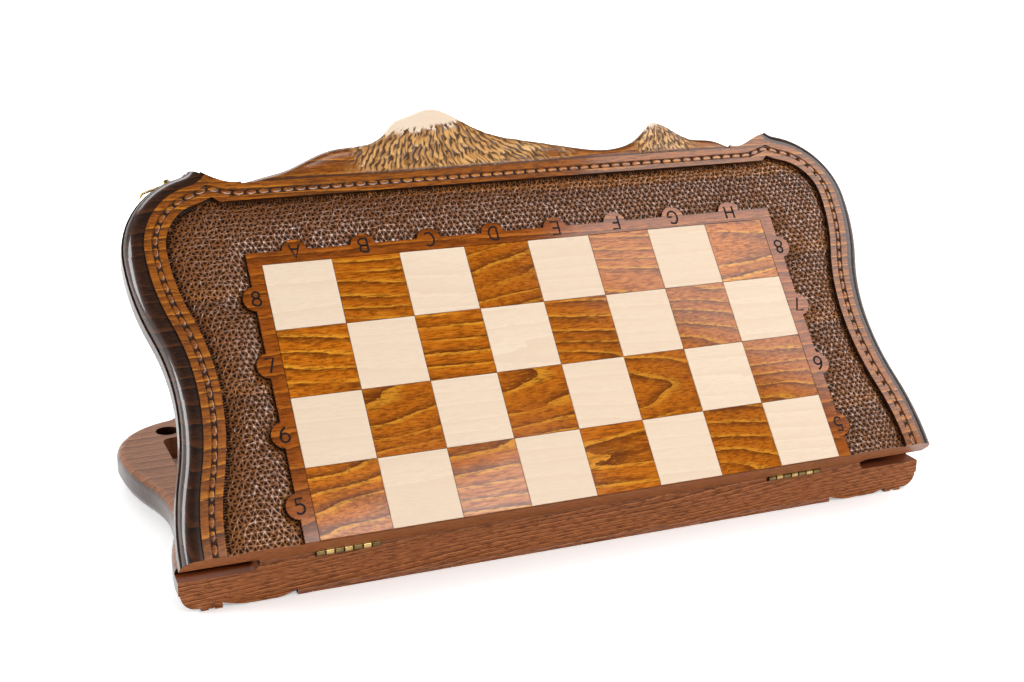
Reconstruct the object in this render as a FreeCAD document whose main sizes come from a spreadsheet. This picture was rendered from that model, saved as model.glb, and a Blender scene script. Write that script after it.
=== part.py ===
import FreeCAD, Part
import math
import os
import re
import Sketcher
from FreeCAD import Placement, Rotation, Vector

# A folding games case of two carved wooden leaves, hinged along a straight spine.
# The outsides of both leaves make a chess board, the trays inside a backgammon board.
# Each leaf is drawn in its own frame: X along the spine, Y from the spine to the crest,
# Z from the mating face to the chess face. The lower leaf lies on its chess face, and the
# part's own origin is on the table below the middle of the half-open case.
# Lengths are millimetres. Names that end in angle are degrees, those in count are counts.

SIZES = {
    # the leaf
    "square": 44.0,
    "thickness": 25.0,
    "joint_gap": 0.15,
    "fold_angle": 49.0,
    "origin_along": 130.16,
    "overrun": 2.0,
    "glue_line": 0.001,
    # the outer edge of the flat frame on the chess face, spine to crest
    "spine_half": 242.4,
    "waist_half": 228.4,
    "waist_along": 97.0,
    "bulge_half": 244.2,
    "bulge_along": 191.0,
    "shoulder_radius": 44.0,
    "shoulder_angle": 76.0,
    "upturn_radius": 20.0,
    "upturn_angle": 40.0,
    "frame_width": 12.8,
    # the moulded side below that edge
    "moulding_reach": 12.3,
    "face_reach": 7.0,
    "side_height": 13.6,
    "quirk_depth": 1.0,
    "quirk_height": 0.6,
    "ovolo_start": 1.5,
    "ovolo_drop": 1.8,
    # the crest beyond the frame
    "peak_reach": 3.0,
    "crest_height": 35.94,
    "crest_rise": 42.4,
    "crest_left_inset": 23.9,
    "crest_right_inset": 29.9,
    "relief_thickness": 5.0,
    # the carved ground and the chain round the frame
    "ground_depth": 3.5,
    "swell_height": 2.9,
    "swell_run": 9.0,
    "ground_clearance": 0.1,
    "band_rise": 30.5,
    "cusp_run": 4.7,
    "channel_width": 4.0,
    "channel_depth": 1.2,
    "chain_rise": 35.8,
    "chain_run": 15.2,
    # the chess board
    "border_side": 8.8,
    "border_far": 8.4,
    "lobe_radius": 8.1,
    "lobe_inset": 1.1,
    "veneer": 1.2,
    "seam": 0.4,
    # the tray
    "tray_half": 223.5,
    "spine_rail": 18.0,
    "tray_far": 209.0,
    "tray_depth": 16.5,
    "tray_radius": 7.0,
    "floor_thickness": 1.5,
    "floor_clearance": 0.1,
    "point_length": 185.0,
    "point_tip": 1.0,
    "point_gap": 0.8,
    "point_margin": 2.0,
    "inlay_depth": 0.8,
    # the dice wells and the notches at the ends of the spine
    "well_radius": 8.0,
    "well_depth": 12.0,
    "well_out": 16.8,
    "well_rise": 31.5,
    "notch_start": 207.0,
    "notch_depth": 5.0,
    "notch_width": 12.0,
    # the hinges
    "hinge_centre": 154.0,
    "hinge_length": 40.0,
    "knuckle_radius": 2.2,
    "knuckle_gap": 0.2,
    "pin_radius": 1.0,
    "pin_clearance": 0.05,
    "barrel_clearance": 0.3,
    "plate_width": 12.0,
    "plate_thickness": 1.2,
    "mortise_clearance": 0.1,
    # the hinge screws
    "screw_radius": 1.2,
    "screw_head_radius": 2.3,
    "screw_length": 10.0,
    "screw_clearance": 0.05,
    "screw_line": 7.4,
    "screw_spacing": 13.0,
    "slot_width": 0.5,
    "slot_depth": 0.4,
    # the hooks
    "hook_angle": 70.0,
    "left_swing_angle": 95.0,
    "right_swing_angle": 25.0,
    "pivot_height": 7.5,
    "pivot_radius": 1.2,
    "pivot_clearance": 0.08,
    "pivot_length": 9.0,
    "pivot_head_radius": 2.3,
    "pivot_head_height": 1.3,
    "washer_radius": 3.0,
    "washer_thickness": 0.8,
    "seat_depth": 0.4,
    "hook_clearance": 0.15,
    "eye_radius": 2.8,
    "eye_thickness": 1.8,
    "rod_radius": 0.8,
    "hook_reach": 16.5,
    "bend_radius": 1.6,
    "tip_length": 2.6,
    "stud_radius": 1.1,
    "stud_head_radius": 2.0,
    "stud_head_height": 1.0,
    "stud_play": 0.35,
}

FILE_COUNT = 8
RANK_COUNT = 4
POINT_COUNT = 6
KNUCKLE_COUNT = 7
SCREW_COUNT = 3

# Where the core of a leaf and the root of its moulding lie, as shares of the frame's width.
CORE_SHARE = 0.3
ROOT_SHARE = 0.6
# How far along the upturn the ground's cusp and the chain reach.
CUSP_SHARE = 0.45
CHAIN_SHARE = 0.55
# The crest against the sky, from right to left: across as shares of the way from the middle to
# a corner peak, and the height above the corner peaks as shares of the crest's height.
CREST_SHARES = (
    (0.941, -0.117), (0.874, -0.239), (0.806, -0.068), (0.697, 0.043), (0.632, 0.288), (0.584, 0.422),
    (0.536, 0.239), (0.469, 0.006), (0.366, -0.074), (0.270, 0.012), (0.122, 0.190), (0.0, 0.349),
    (-0.074, 0.545), (-0.137, 0.814), (-0.208, 1.0), (-0.292, 0.881), (-0.355, 0.741),
    (-0.394, 0.508), (-0.458, 0.349), (-0.562, 0.306), (-0.647, 0.153), (-0.734, -0.055),
    (-0.819, -0.166), (-0.909, -0.239), (-0.959, -0.141),
)

doc = FreeCAD.newDocument("games_case")
sheet = doc.addObject("Spreadsheet::Sheet", "sizes")
for row, (alias, number) in enumerate(SIZES.items(), start=1):
    sheet.set("A%d" % row, alias)
    sheet.set("B%d" % row, str(number))
    sheet.setAlias("B%d" % row, alias)
doc.recompute()

NODES = []


def size(alias):
    """The sheet's value of one driving dimension."""
    return float(sheet.get(alias))


def formula(text):
    """A formula in plain size names, turned into one that reads the sheet."""
    return re.sub(r"[a-z_]+", lambda m: "sizes." + m.group() if m.group() in SIZES else m.group(), text)


def bind(item, **formulas):
    """Ties properties of an object to the sheet. A double underscore stands for a dot."""
    for name, text in formulas.items():
        item.setExpression(name.replace("__", "."), formula(text))
    return item


def at(item, x="0", y="0", z="0"):
    """Ties the place of an object to the sheet."""
    return bind(item, Placement__Base__x=x, Placement__Base__y=y, Placement__Base__z=z)


def box(name, corner, extent):
    """A box from its low corner and its extents, both as formulas."""
    item = doc.addObject("Part::Box", name)
    bind(item, Length=extent[0], Width=extent[1], Height=extent[2])
    return at(item, *corner)


def cylinder(name, radius, height, base):
    """An upright cylinder on a base point, as formulas."""
    item = doc.addObject("Part::Cylinder", name)
    bind(item, Radius=radius, Height=height)
    return at(item, *base)


def cone(name, low, high, height, base):
    """An upright cone on a base point, as formulas."""
    item = doc.addObject("Part::Cone", name)
    bind(item, Radius1=low, Radius2=high, Height=height)
    return at(item, *base)


def along_spine(item):
    """Turns a cylinder so that its axis runs along the spine."""
    item.Placement = Placement(item.Placement.Base, Rotation(Vector(0, 1, 0), 90))
    return item


def fuse(name, items):
    """One solid from several."""
    item = doc.addObject("Part::MultiFuse", name)
    item.Shapes = list(items)
    item.Refine = True
    return item


def group(name, items):
    """Separate solids that share one node."""
    item = doc.addObject("Part::Compound", name)
    item.Links = list(items)
    return item


def cut(name, base, tool):
    """A solid less a tool."""
    item = doc.addObject("Part::Cut", name)
    item.Base = base
    item.Tool = tool
    item.Refine = True
    return item


def common(name, base, tool):
    """What two solids share."""
    item = doc.addObject("Part::Common", name)
    item.Base = base
    item.Tool = tool
    return item


def solid(name, shape):
    """A shape that is worked out in code from the sheet."""
    item = doc.addObject("Part::Feature", name)
    item.Shape = shape
    return item


def node(item, label):
    """Names a finished sub-part."""
    item.Label = label
    NODES.append(item)
    return item


# How far a corner peak lies from the middle, as a formula.
CORNER_PEAK = ("(bulge_half - shoulder_radius + (shoulder_radius + upturn_radius) * cos(shoulder_angle)"
               " - (upturn_radius - peak_reach) * cos(shoulder_angle - upturn_angle))")

# The two leaves' frames. The hinge axis lies a gap below the mating face and behind the spine.

LEAVES = {
    "upper": {
        "hand": 1,
        "turn": Rotation(Vector(1, 0, 0), SIZES["fold_angle"]),
        "angle": "fold_angle",
        "y": "joint_gap * (cos(fold_angle) - sin(fold_angle)) - origin_along",
        "z": "thickness + joint_gap + joint_gap * (cos(fold_angle) + sin(fold_angle))",
    },
    "lower": {
        "hand": -1,
        "turn": Rotation(Vector(0, 1, 0), 180),
        "angle": "180",
        "y": "joint_gap - origin_along",
        "z": "thickness",
    },
}


def seat(item, leaf):
    """Places a sub-part that is drawn in its leaf's frame."""
    frame = LEAVES[leaf]
    item.Placement = Placement(Vector(), frame["turn"])
    bind(item, Placement__Rotation__Angle=frame["angle"])
    return at(item, "0", frame["y"], frame["z"])


def leaf_placement(leaf):
    """The same place as numbers, for pieces that turn about an axis of their own."""
    gap, back = size("joint_gap"), size("origin_along")
    fold = math.radians(size("fold_angle"))
    if leaf == "lower":
        return Placement(Vector(0, gap - back, size("thickness")), LEAVES[leaf]["turn"])
    rise = size("thickness") + gap + gap * (math.cos(fold) + math.sin(fold))
    return Placement(Vector(0, gap * (math.cos(fold) - math.sin(fold)) - back, rise),
                     Rotation(Vector(1, 0, 0), size("fold_angle")))


# The side of a leaf: six tangent arcs from the spine to the peak at the shoulder.

def swerve(first, last):
    """Two equal arcs between two points, which leave and arrive along Y."""
    shift, run = last.x - first.x, last.y - first.y
    radius = (shift ** 2 + run ** 2) / (4 * abs(shift))
    turn = math.degrees(math.asin(run / 2 / radius))
    across = Vector(radius, 0)
    if shift < 0:
        return [(first - across, radius, 0, turn, 1), (last + across, radius, 180 + turn, 180, -1)]
    return [(first + across, radius, 180, 180 - turn, -1), (last - across, radius, -turn, 0, 1)]


def side_arcs():
    """Centre, radius, first and last angle, and bulge of each arc of the right side."""
    spine = Vector(size("spine_half"), 0)
    waist = Vector(size("waist_half"), size("waist_along"))
    bulge = Vector(size("bulge_half"), size("bulge_along"))
    shoulder, upturn = size("shoulder_radius"), size("upturn_radius")
    turn, rise = size("shoulder_angle"), size("upturn_angle")
    reach = shoulder + upturn
    corner = bulge - Vector(shoulder, 0)
    tip = corner + Vector(reach * math.cos(math.radians(turn)), reach * math.sin(math.radians(turn)))
    return swerve(spine, waist) + swerve(waist, bulge) + [
        (corner, shoulder, 0, turn, 1),
        (tip, upturn, 180 + turn, 180 + turn - rise, -1),
    ]


def arc_point(arc, offset, angle, hand=1):
    """A point of one arc at a distance outside the frame's edge."""
    centre, radius, _, _, bulge = arc
    reach = radius + bulge * offset
    turn = math.radians(angle)
    return Vector(hand * (centre.x + reach * math.cos(turn)), centre.y + reach * math.sin(turn), 0)


def side_edges(offset, hand, last_share=1.0):
    """The edges of a side at a distance outside the frame's edge, from the spine on."""
    edges = []
    arcs = side_arcs()
    for number, arc in enumerate(arcs):
        first, last = arc[2], arc[3]
        if number == len(arcs) - 1:
            last = first + (last - first) * last_share
        points = [arc_point(arc, offset, angle, hand) for angle in (first, (first + last) / 2, last)]
        edges.append(Part.Arc(*points).toShape())
    return edges


def side_end(offset, hand, last_share=1.0):
    """The last point of those edges."""
    arc = side_arcs()[-1]
    return arc_point(arc, offset, arc[2] + (arc[3] - arc[2]) * last_share, hand)


def side_start(offset, hand):
    """The first point of those edges, on the spine."""
    return Vector(hand * (size("spine_half") + offset), 0, 0)


def line(first, last):
    """A straight edge."""
    return Part.LineSegment(first, last).toShape()


def face_of(edges):
    """A face inside edges that join up in any order."""
    return Part.Face(Part.Wire(Part.__sortEdges__(edges)))


def moulding(hand):
    """The swept side of a leaf, from inside the frame out to the rounded side."""
    edge, high = size("spine_half"), size("thickness")
    reach, face = size("moulding_reach"), size("face_reach")
    root = -size("frame_width") * ROOT_SHARE
    bead = reach - face
    quirk = reach - size("quirk_depth")
    top = size("side_height")
    ovolo_low = top + size("quirk_height")
    ovolo_high = high - size("ovolo_drop")
    start = size("ovolo_start")
    slant = math.sqrt(0.5)

    def spot(out, up):
        return Vector(hand * (edge + out), 0, up)

    edges = [
        line(spot(root, 0), spot(face, 0)),
        Part.Arc(spot(face, 0), spot(face + bead * slant, bead - bead * slant), spot(reach, bead)).toShape(),
        line(spot(reach, bead), spot(reach, top)),
        line(spot(reach, top), spot(quirk, top)),
        line(spot(quirk, top), spot(quirk, ovolo_low)),
        Part.Arc(spot(quirk, ovolo_low),
                 spot(start + (quirk - start) * slant, ovolo_low + (ovolo_high - ovolo_low) * slant),
                 spot(start, ovolo_high)).toShape(),
        line(spot(start, ovolo_high), spot(0, ovolo_high)),
        line(spot(0, ovolo_high), spot(0, high)),
        line(spot(0, high), spot(root, high)),
        line(spot(root, high), spot(root, 0)),
    ]
    profile = Part.Wire(Part.__sortEdges__(edges))
    return Part.Wire(side_edges(0, hand)).makePipeShell([profile], True, False)


def blank(hand):
    """A leaf before it is carved: the core inside the frame, with both moulded sides."""
    core = -size("frame_width") * CORE_SHARE
    peak, height = size("peak_reach"), size("crest_height")
    corner = side_end(peak, 1)
    crest = [corner]
    crest += [Vector(hand * across * corner.x, corner.y + rise * height, 0) for across, rise in CREST_SHARES[::hand]]
    crest += [side_end(peak, -1)]
    skyline = Part.BSplineCurve()
    skyline.interpolate(crest)
    edges = [line(side_start(core, -1), side_start(core, 1)), skyline.toShape()]
    for side in (1, -1):
        edges += side_edges(core, side)
        edges.append(line(side_end(core, side), side_end(peak, side)))
    body = face_of(edges).extrude(Vector(0, 0, size("thickness")))
    whole = body.fuse([moulding(1), moulding(-1)], size("glue_line")).removeSplitter()
    if whole.Volume < body.Volume:
        raise RuntimeError("the mouldings did not join the leaf")
    return whole


def ground_wire(offset, level):
    """The ground's outline at a distance outside the frame's edge, from past the spine on."""
    band = size("bulge_along") + size("band_rise") + size("frame_width") + offset
    feet = [Vector(side_end(offset, side, CUSP_SHARE).x - side * size("cusp_run"), band, 0) for side in (-1, 1)]
    low = [side_start(offset, side) - Vector(0, size("overrun"), 0) for side in (-1, 1)]
    edges = [line(*feet), line(*low)]
    for side, foot, start in zip((-1, 1), feet, low):
        edges += side_edges(offset, side, CUSP_SHARE)
        edges.append(line(side_end(offset, side, CUSP_SHARE), foot))
        edges.append(line(side_start(offset, side), start))
    wire = Part.Wire(Part.__sortEdges__(edges))
    wire.translate(Vector(0, 0, level))
    return wire


def ground_tool():
    """The recess between the frame and the board that the ground lies in, open at the spine."""
    deep = size("ground_depth")
    rim = ground_wire(-size("frame_width"), size("thickness") - deep)
    return Part.Face(rim).extrude(Vector(0, 0, deep + size("overrun")))


def chain_tool():
    """The channel for the chain: up both sides and along the run below the crest."""
    middle = -size("frame_width") / 2
    half = size("channel_width") / 2
    over = size("overrun")
    deep = Vector(0, 0, size("channel_depth") + over)
    level = Vector(0, 0, size("thickness") - size("channel_depth"))
    pieces, feet = [], []
    for side in (-1, 1):
        edges = []
        for out in (half, -half):
            start = side_start(middle + out, side)
            edges += side_edges(middle + out, side, CHAIN_SHARE)
            edges.append(line(start, start - Vector(0, over, 0)))
        edges.append(line(side_end(middle - half, side, CHAIN_SHARE), side_end(middle + half, side, CHAIN_SHARE)))
        edges.append(line(side_start(middle - half, side) - Vector(0, over, 0),
                          side_start(middle + half, side) - Vector(0, over, 0)))
        pieces.append(face_of(edges).extrude(deep))
        end = side_end(middle, side, CHAIN_SHARE)
        foot = Vector(end.x - side * size("chain_run"), size("bulge_along") + size("chain_rise"), 0)
        pieces += [slot(end, foot, half, deep)] + [Part.makeCylinder(half, deep.z, spot) for spot in (end, foot)]
        feet.append(foot)
    tool = slot(*feet, half, deep).fuse(pieces).removeSplitter()
    tool.translate(level)
    return tool


def slot(first, last, half, deep):
    """A straight cutter between two points."""
    along = (last - first).normalize()
    out = Vector(-along.y, along.x, 0) * half
    corners = [first + out, last + out, last - out, first - out]
    return face_of([line(corners[n - 1], corners[n]) for n in range(len(corners))]).extrude(deep)


# Where the hooks sit: a radial axis through the shoulder, at the outermost surface.

def shoulder_spot(hand, height, out=0.0):
    """A point on a shoulder's radial axis, and the outward direction there."""
    turn = math.radians(size("hook_angle"))
    reach = size("shoulder_radius") + size("moulding_reach") + out
    outward = Vector(hand * math.cos(turn), math.sin(turn), 0)
    corner = Vector(hand * (size("bulge_half") - size("shoulder_radius")), size("bulge_along"), height)
    return corner + outward * reach, outward


def shoulder_placement(hand, height, out, spin, shift=0.0):
    """A frame there: Z outwards, X turned by spin from the way to the other leaf.

    A shift moves it sideways, against the way in which a hook opens.
    """
    spot, outward = shoulder_spot(hand, height, out)
    down = Vector(0, 0, -1)
    open_way = Vector(hand * outward.y, -abs(outward.x), 0)
    turn = math.radians(spin)
    rod = down * math.cos(turn) + open_way * math.sin(turn)
    return Placement(spot - open_way * shift, Rotation(rod, outward.cross(rod), outward, "ZXY"))


def stud_placement(hand):
    """The frame of the stud that a latched hook goes round, in the lower leaf, whose X runs the other way."""
    grip = size("rod_radius") + size("stud_radius") + size("stud_play")
    reach = size("hook_reach") + size("bend_radius") - grip
    height = reach - size("pivot_height") - 2 * size("joint_gap")
    return shoulder_placement(-hand, height, -size("seat_depth"), 0, grip)


# The wooden leaves

def rounded_box(name, corner, extent, radius):
    """A box with upright round corners."""
    x, y, z = corner
    length, width, height = extent
    pieces = [
        box(name + "_long", ("%s + %s" % (x, radius), y, z), ("%s - 2 * %s" % (length, radius), width, height)),
        box(name + "_wide", (x, "%s + %s" % (y, radius), z), (length, "%s - 2 * %s" % (width, radius), height)),
    ]
    for right in (0, 1):
        for far in (0, 1):
            centre = (
                "%s + %s + %d * (%s - 2 * %s)" % (x, radius, right, length, radius),
                "%s + %s + %d * (%s - 2 * %s)" % (y, radius, far, width, radius),
                z,
            )
            pieces.append(cylinder("%s_corner_%d%d" % (name, right, far), radius, height, centre))
    return fuse(name, pieces)


def notch_tools(leaf):
    """The notches at both ends of the spine, with a round inner end."""
    tools = []
    for hand, side in ((-1, "left"), (1, "right")):
        name = "%s_%s_notch" % (leaf, side)
        run = "spine_half + moulding_reach + overrun - notch_start - notch_depth"
        start = "notch_start + notch_depth"
        low = start if hand > 0 else "-(spine_half + moulding_reach + overrun)"
        tools.append(box(name, (low, "-overrun", "-overrun"),
                         (run, "notch_width + overrun", "notch_depth + overrun")))
        inner = "notch_start" if hand > 0 else "-(%s)" % start
        tools.append(box(name + "_mouth", (inner, "-overrun", "-overrun"),
                         ("notch_depth", "notch_width + overrun", "overrun")))
        curve = doc.addObject("Part::Cylinder", name + "_curve")
        bind(curve, Radius="notch_depth", Height="notch_width + overrun")
        curve.Placement = Placement(Vector(), Rotation(Vector(1, 0, 0), -90))
        tools.append(at(curve, "%d * (%s)" % (hand, start), "-overrun", "0"))
    return tools


def hinge_tools(leaf):
    """Mortises, barrel reliefs and screw holes for both hinges."""
    tools = []
    for hand, side in ((-1, "left"), (1, "right")):
        name = "%s_%s_hinge" % (leaf, side)
        middle = "%d * hinge_centre" % hand
        tools.append(box(name + "_mortise",
                         ("%s - hinge_length / 2 - mortise_clearance" % middle, "-overrun", "-overrun"),
                         ("hinge_length + 2 * mortise_clearance", "plate_width + mortise_clearance + overrun",
                          "plate_thickness + overrun")))
        relief = cylinder(name + "_relief", "knuckle_radius + barrel_clearance",
                          "hinge_length + 2 * barrel_clearance", ("0", "0", "0"))
        along_spine(relief)
        tools.append(at(relief, "%s - hinge_length / 2 - barrel_clearance" % middle, "-joint_gap", "-joint_gap"))
        for number in range(SCREW_COUNT):
            tools.append(cylinder("%s_hole_%d" % (name, number), "screw_radius + screw_clearance",
                                  "screw_length + screw_clearance",
                                  (screw_across(middle, number), "screw_line", "0")))
    return tools


def screw_across(middle, number):
    """Where a hinge screw lies along the spine."""
    return "%s + %d * screw_spacing" % (middle, number - (SCREW_COUNT - 1) // 2)


def latch_tools(leaf):
    """Seats and holes in the shoulders for the hooks' pivots, or for their studs."""
    tools = []
    for hand, side in ((-1, "left"), (1, "right")):
        name = "%s_%s_latch" % (leaf, side)
        if leaf == "upper":
            place = shoulder_placement(hand, size("pivot_height"), -size("seat_depth"), 0)
            hole, flat = "pivot_radius + screw_clearance", "washer_radius + screw_clearance"
        else:
            place = stud_placement(-hand)
            hole, flat = "stud_radius + screw_clearance", "stud_head_radius + screw_clearance"
        for part, radius, length, back in (("hole", hole, "pivot_length + screw_clearance + overrun",
                                            size("pivot_length") + size("screw_clearance")),
                                           ("flat", flat, "seat_depth + overrun", 0)):
            tool = doc.addObject("Part::Cylinder", "%s_%s" % (name, part))
            bind(tool, Radius=radius, Height=length)
            tool.Placement = place.multiply(Placement(Vector(0, 0, -back), Rotation()))
            tools.append(tool)
    return tools


def make_slab(leaf):
    """One leaf's slab and the carved crest that is laid into it."""
    hand = LEAVES[leaf]["hand"]
    body = solid(leaf + "_blank", blank(hand))
    low_inset = "crest_left_inset" if hand > 0 else "crest_right_inset"
    ledge = box(leaf + "_ledge", ("%s - %s" % (low_inset, CORNER_PEAK), "bulge_along + crest_rise",
                                  "thickness - relief_thickness"),
                ("2 * %s - crest_left_inset - crest_right_inset" % CORNER_PEAK, "2 * crest_height",
                 "relief_thickness + overrun"))
    tools = [
        ledge,
        solid(leaf + "_ground", ground_tool()),
        solid(leaf + "_chain", chain_tool()),
        rounded_box(leaf + "_tray", ("-tray_half", "spine_rail", "-overrun"),
                    ("2 * tray_half", "(tray_far - spine_rail)", "tray_depth + overrun"), "tray_radius"),
    ]
    for side in (-1, 1):
        tools.append(cylinder("%s_well_%d" % (leaf, side + 1), "well_radius", "well_depth + overrun",
                              ("%d * (bulge_half - shoulder_radius + well_out)" % side,
                               "bulge_along + well_rise", "-overrun")))
    tools += notch_tools(leaf) + hinge_tools(leaf) + latch_tools(leaf)
    slab = cut(leaf + "_slab_solid", body, fuse(leaf + "_tools", tools))
    relief = common(leaf + "_crest_solid", solid(leaf + "_crest_blank", blank(hand)), ledge)
    node(seat(slab, leaf), leaf + "_slab")
    node(seat(relief, leaf), leaf + "_crest_carving")


def make_board(leaf):
    """The lobed border and the inlaid squares of half a chess board."""
    deep = "thickness - ground_depth"
    half = FILE_COUNT // 2
    pieces = [box(leaf + "_plate", ("-%d * square - border_side" % half, "0", deep),
                  ("%d * square + 2 * border_side" % FILE_COUNT, "%d * square + border_far" % RANK_COUNT,
                   "ground_depth"))]
    for number in range(FILE_COUNT):
        pieces.append(cylinder("%s_file_lobe_%d" % (leaf, number), "lobe_radius", "ground_depth",
                               ("%d * square + square / 2" % (number - half),
                                "%d * square + border_far - lobe_inset" % RANK_COUNT, deep)))
    for number in range(RANK_COUNT):
        for hand in (-1, 1):
            pieces.append(cylinder("%s_rank_lobe_%d_%d" % (leaf, number, hand + 1), "lobe_radius", "ground_depth",
                                   ("%d * (%d * square + border_side - lobe_inset)" % (hand, half),
                                    "%d * square + square / 2" % number, deep)))
    recess = box(leaf + "_field", ("-%d * square - seam / 2" % half, "-overrun", "thickness - veneer"),
                 ("%d * square + seam" % FILE_COUNT, "%d * square + seam / 2 + overrun" % RANK_COUNT,
                  "veneer + overrun"))
    border = cut(leaf + "_border_solid", fuse(leaf + "_border_blank", pieces), recess)
    node(seat(border, leaf), leaf + "_board_border")
    shades = {"light": [], "dark": []}
    for column in range(FILE_COUNT):
        for row in range(RANK_COUNT):
            # the lower leaf's files run the other way and its ranks count down from the spine
            file = column + 1 if leaf == "upper" else FILE_COUNT - column
            rank = RANK_COUNT + 1 + row if leaf == "upper" else RANK_COUNT - row
            shade = "dark" if (file + rank) % 2 == 0 else "light"
            shades[shade].append(box("%s_square_%d_%d" % (leaf, column, row),
                                     ("%d * square + seam / 2" % (column - half), "%d * square + seam / 2" % row,
                                      "thickness - veneer"),
                                     ("square - seam", "square - seam", "veneer")))
    for shade, squares in shades.items():
        node(seat(group("%s_%s_group" % (leaf, shade), squares), leaf), "%s_%s_squares" % (leaf, shade))


def board_slopes(run, rise):
    """What the ground's swell leaves free round the board: slopes up from its plate and lobes."""
    half, far = FILE_COUNT // 2 * size("square"), RANK_COUNT * size("square")
    play, inset = size("ground_clearance"), size("lobe_inset")
    level = size("thickness") - size("ground_depth")
    near = -size("overrun")

    def rim(grow, up):
        x, y = half + size("border_side") + play + grow, far + size("border_far") + play + grow
        corners = [Vector(-x, near, level + up), Vector(x, near, level + up),
                   Vector(x, y, level + up), Vector(-x, y, level + up)]
        return Part.makePolygon(corners + corners[:1])

    spots = [(number * size("square") + size("square") / 2 - half, far + size("border_far") - inset)
             for number in range(FILE_COUNT)]
    for number in range(RANK_COUNT):
        spots += [(hand * (half + size("border_side") - inset), (number + 0.5) * size("square")) for hand in (-1, 1)]
    low = size("lobe_radius") + play
    return [Part.makeLoft([rim(0, 0), rim(run, rise)], True, True)] + [
        Part.makeCone(low, low + run, rise, Vector(x, y, level)) for x, y in spots]


def make_ground(leaf):
    """The carved ground: a panel that swells up between the frame and the board."""
    rim = -size("frame_width") - size("ground_clearance")
    level = size("thickness") - size("ground_depth")
    run, rise = size("swell_run"), size("swell_height")
    swell = Part.makeLoft([ground_wire(rim, level), ground_wire(rim - run, level + rise)], True, True)
    # the slopes go on past the swell's top, so that they cut it cleanly
    panel = swell.cut(board_slopes(2 * run, 2 * rise))
    past = box(leaf + "_past_spine", ("-spine_half", "-2 * overrun", "0"),
               ("2 * spine_half", "2 * overrun", "2 * thickness"))
    ground = cut(leaf + "_ground_solid", solid(leaf + "_ground_swell", panel), past)
    node(seat(ground, leaf), leaf + "_carved_ground")


def make_tray(leaf):
    """The tray's floor and the points that are inlaid in it."""
    base = "tray_depth - floor_thickness"
    pitch = "(tray_far - spine_rail - 2 * point_margin) / %d" % POINT_COUNT
    shades = {"light": [], "dark": []}
    for end, hand in (("left", 1), ("right", -1)):
        for number in range(POINT_COUNT):
            point = doc.addObject("Part::Wedge", "%s_%s_point_%d" % (leaf, end, number))
            middle = "(%s) / 2" % pitch
            bind(point, Xmin="point_gap / 2", Xmax="%s - point_gap / 2" % pitch, X2min="%s - point_tip / 2" % middle,
                 X2max="%s + point_tip / 2" % middle, Ymin="0", Ymax="point_length",
                 Zmin="0", Zmax="inlay_depth", Z2min="0", Z2max="inlay_depth")
            point.Placement = Placement(Vector(), Rotation(Vector(0, 0, 1), -90 * hand))
            step = number + 1 if hand > 0 else number
            at(point, "%d * (point_margin + floor_clearance - tray_half)" % hand,
               "spine_rail + point_margin + %d * %s" % (step, pitch), base)
            shade = "light" if (number + (hand > 0)) % 2 else "dark"
            shades[shade].append(point)
    clear = "floor_clearance"
    plate = rounded_box(leaf + "_floor_blank", ("-tray_half + " + clear, "spine_rail + " + clear, base),
                        ("(2 * tray_half - 2 * %s)" % clear, "(tray_far - spine_rail - 2 * %s)" % clear,
                         "floor_thickness"), "tray_radius")
    inlays = {shade: group("%s_%s_inlay" % (leaf, shade), points) for shade, points in shades.items()}
    floor = cut(leaf + "_floor_light_cut", plate, inlays["light"])
    floor = cut(leaf + "_floor_solid", floor, inlays["dark"])
    node(seat(floor, leaf), leaf + "_tray_floor")
    for shade, inlay in inlays.items():
        copy = group("%s_%s_points_group" % (leaf, shade), [inlay])
        node(seat(copy, leaf), "%s_%s_points" % (leaf, shade))


# The hinges

def hinge_plate(leaf, side, hand):
    """A hinge plate with its share of the knuckles, bored for the pin and sunk for the screws."""
    name = "%s_%s_plate" % (leaf, side)
    middle = "%d * hinge_centre" % hand
    reach = "knuckle_radius + barrel_clearance - joint_gap"
    pitch = "hinge_length / %d" % KNUCKLE_COUNT
    pieces = [box(name + "_flat", ("%s - hinge_length / 2" % middle, reach, "0"),
                  ("hinge_length", "plate_width - (%s)" % reach, "plate_thickness"))]
    bore = "pin_radius + pin_clearance"
    for number in range(KNUCKLE_COUNT):
        if (number % 2 == 0) != (leaf == "lower"):
            continue
        start = "%s - hinge_length / 2 + %d * %s + knuckle_gap / 2" % (middle, number, pitch)
        run = "%s - knuckle_gap" % pitch
        pieces.append(box("%s_tang_%d" % (name, number), (start, "-joint_gap", "0"),
                          (run, "%s + joint_gap" % reach, "plate_thickness")))
        knuckle = along_spine(cylinder("%s_knuckle_%d" % (name, number), "knuckle_radius", run, ("0", "0", "0")))
        pieces.append(at(knuckle, start, "-joint_gap", "-joint_gap"))
    barrel = along_spine(cylinder(name + "_bore", bore, "hinge_length + 2 * overrun", ("0", "0", "0")))
    tools = [at(barrel, "%s - hinge_length / 2 - overrun" % middle, "-joint_gap", "-joint_gap")]
    for number in range(SCREW_COUNT):
        tools.append(cone("%s_sink_%d" % (name, number), "screw_head_radius + screw_clearance",
                          "screw_radius + screw_clearance", "plate_thickness",
                          (screw_across(middle, number), "screw_line", "0")))
    plate = cut(name + "_solid", fuse(name + "_blank", pieces), fuse(name + "_holes", tools))
    node(seat(plate, leaf), "%s_hinge_%s_plate" % (side, leaf))


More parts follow.
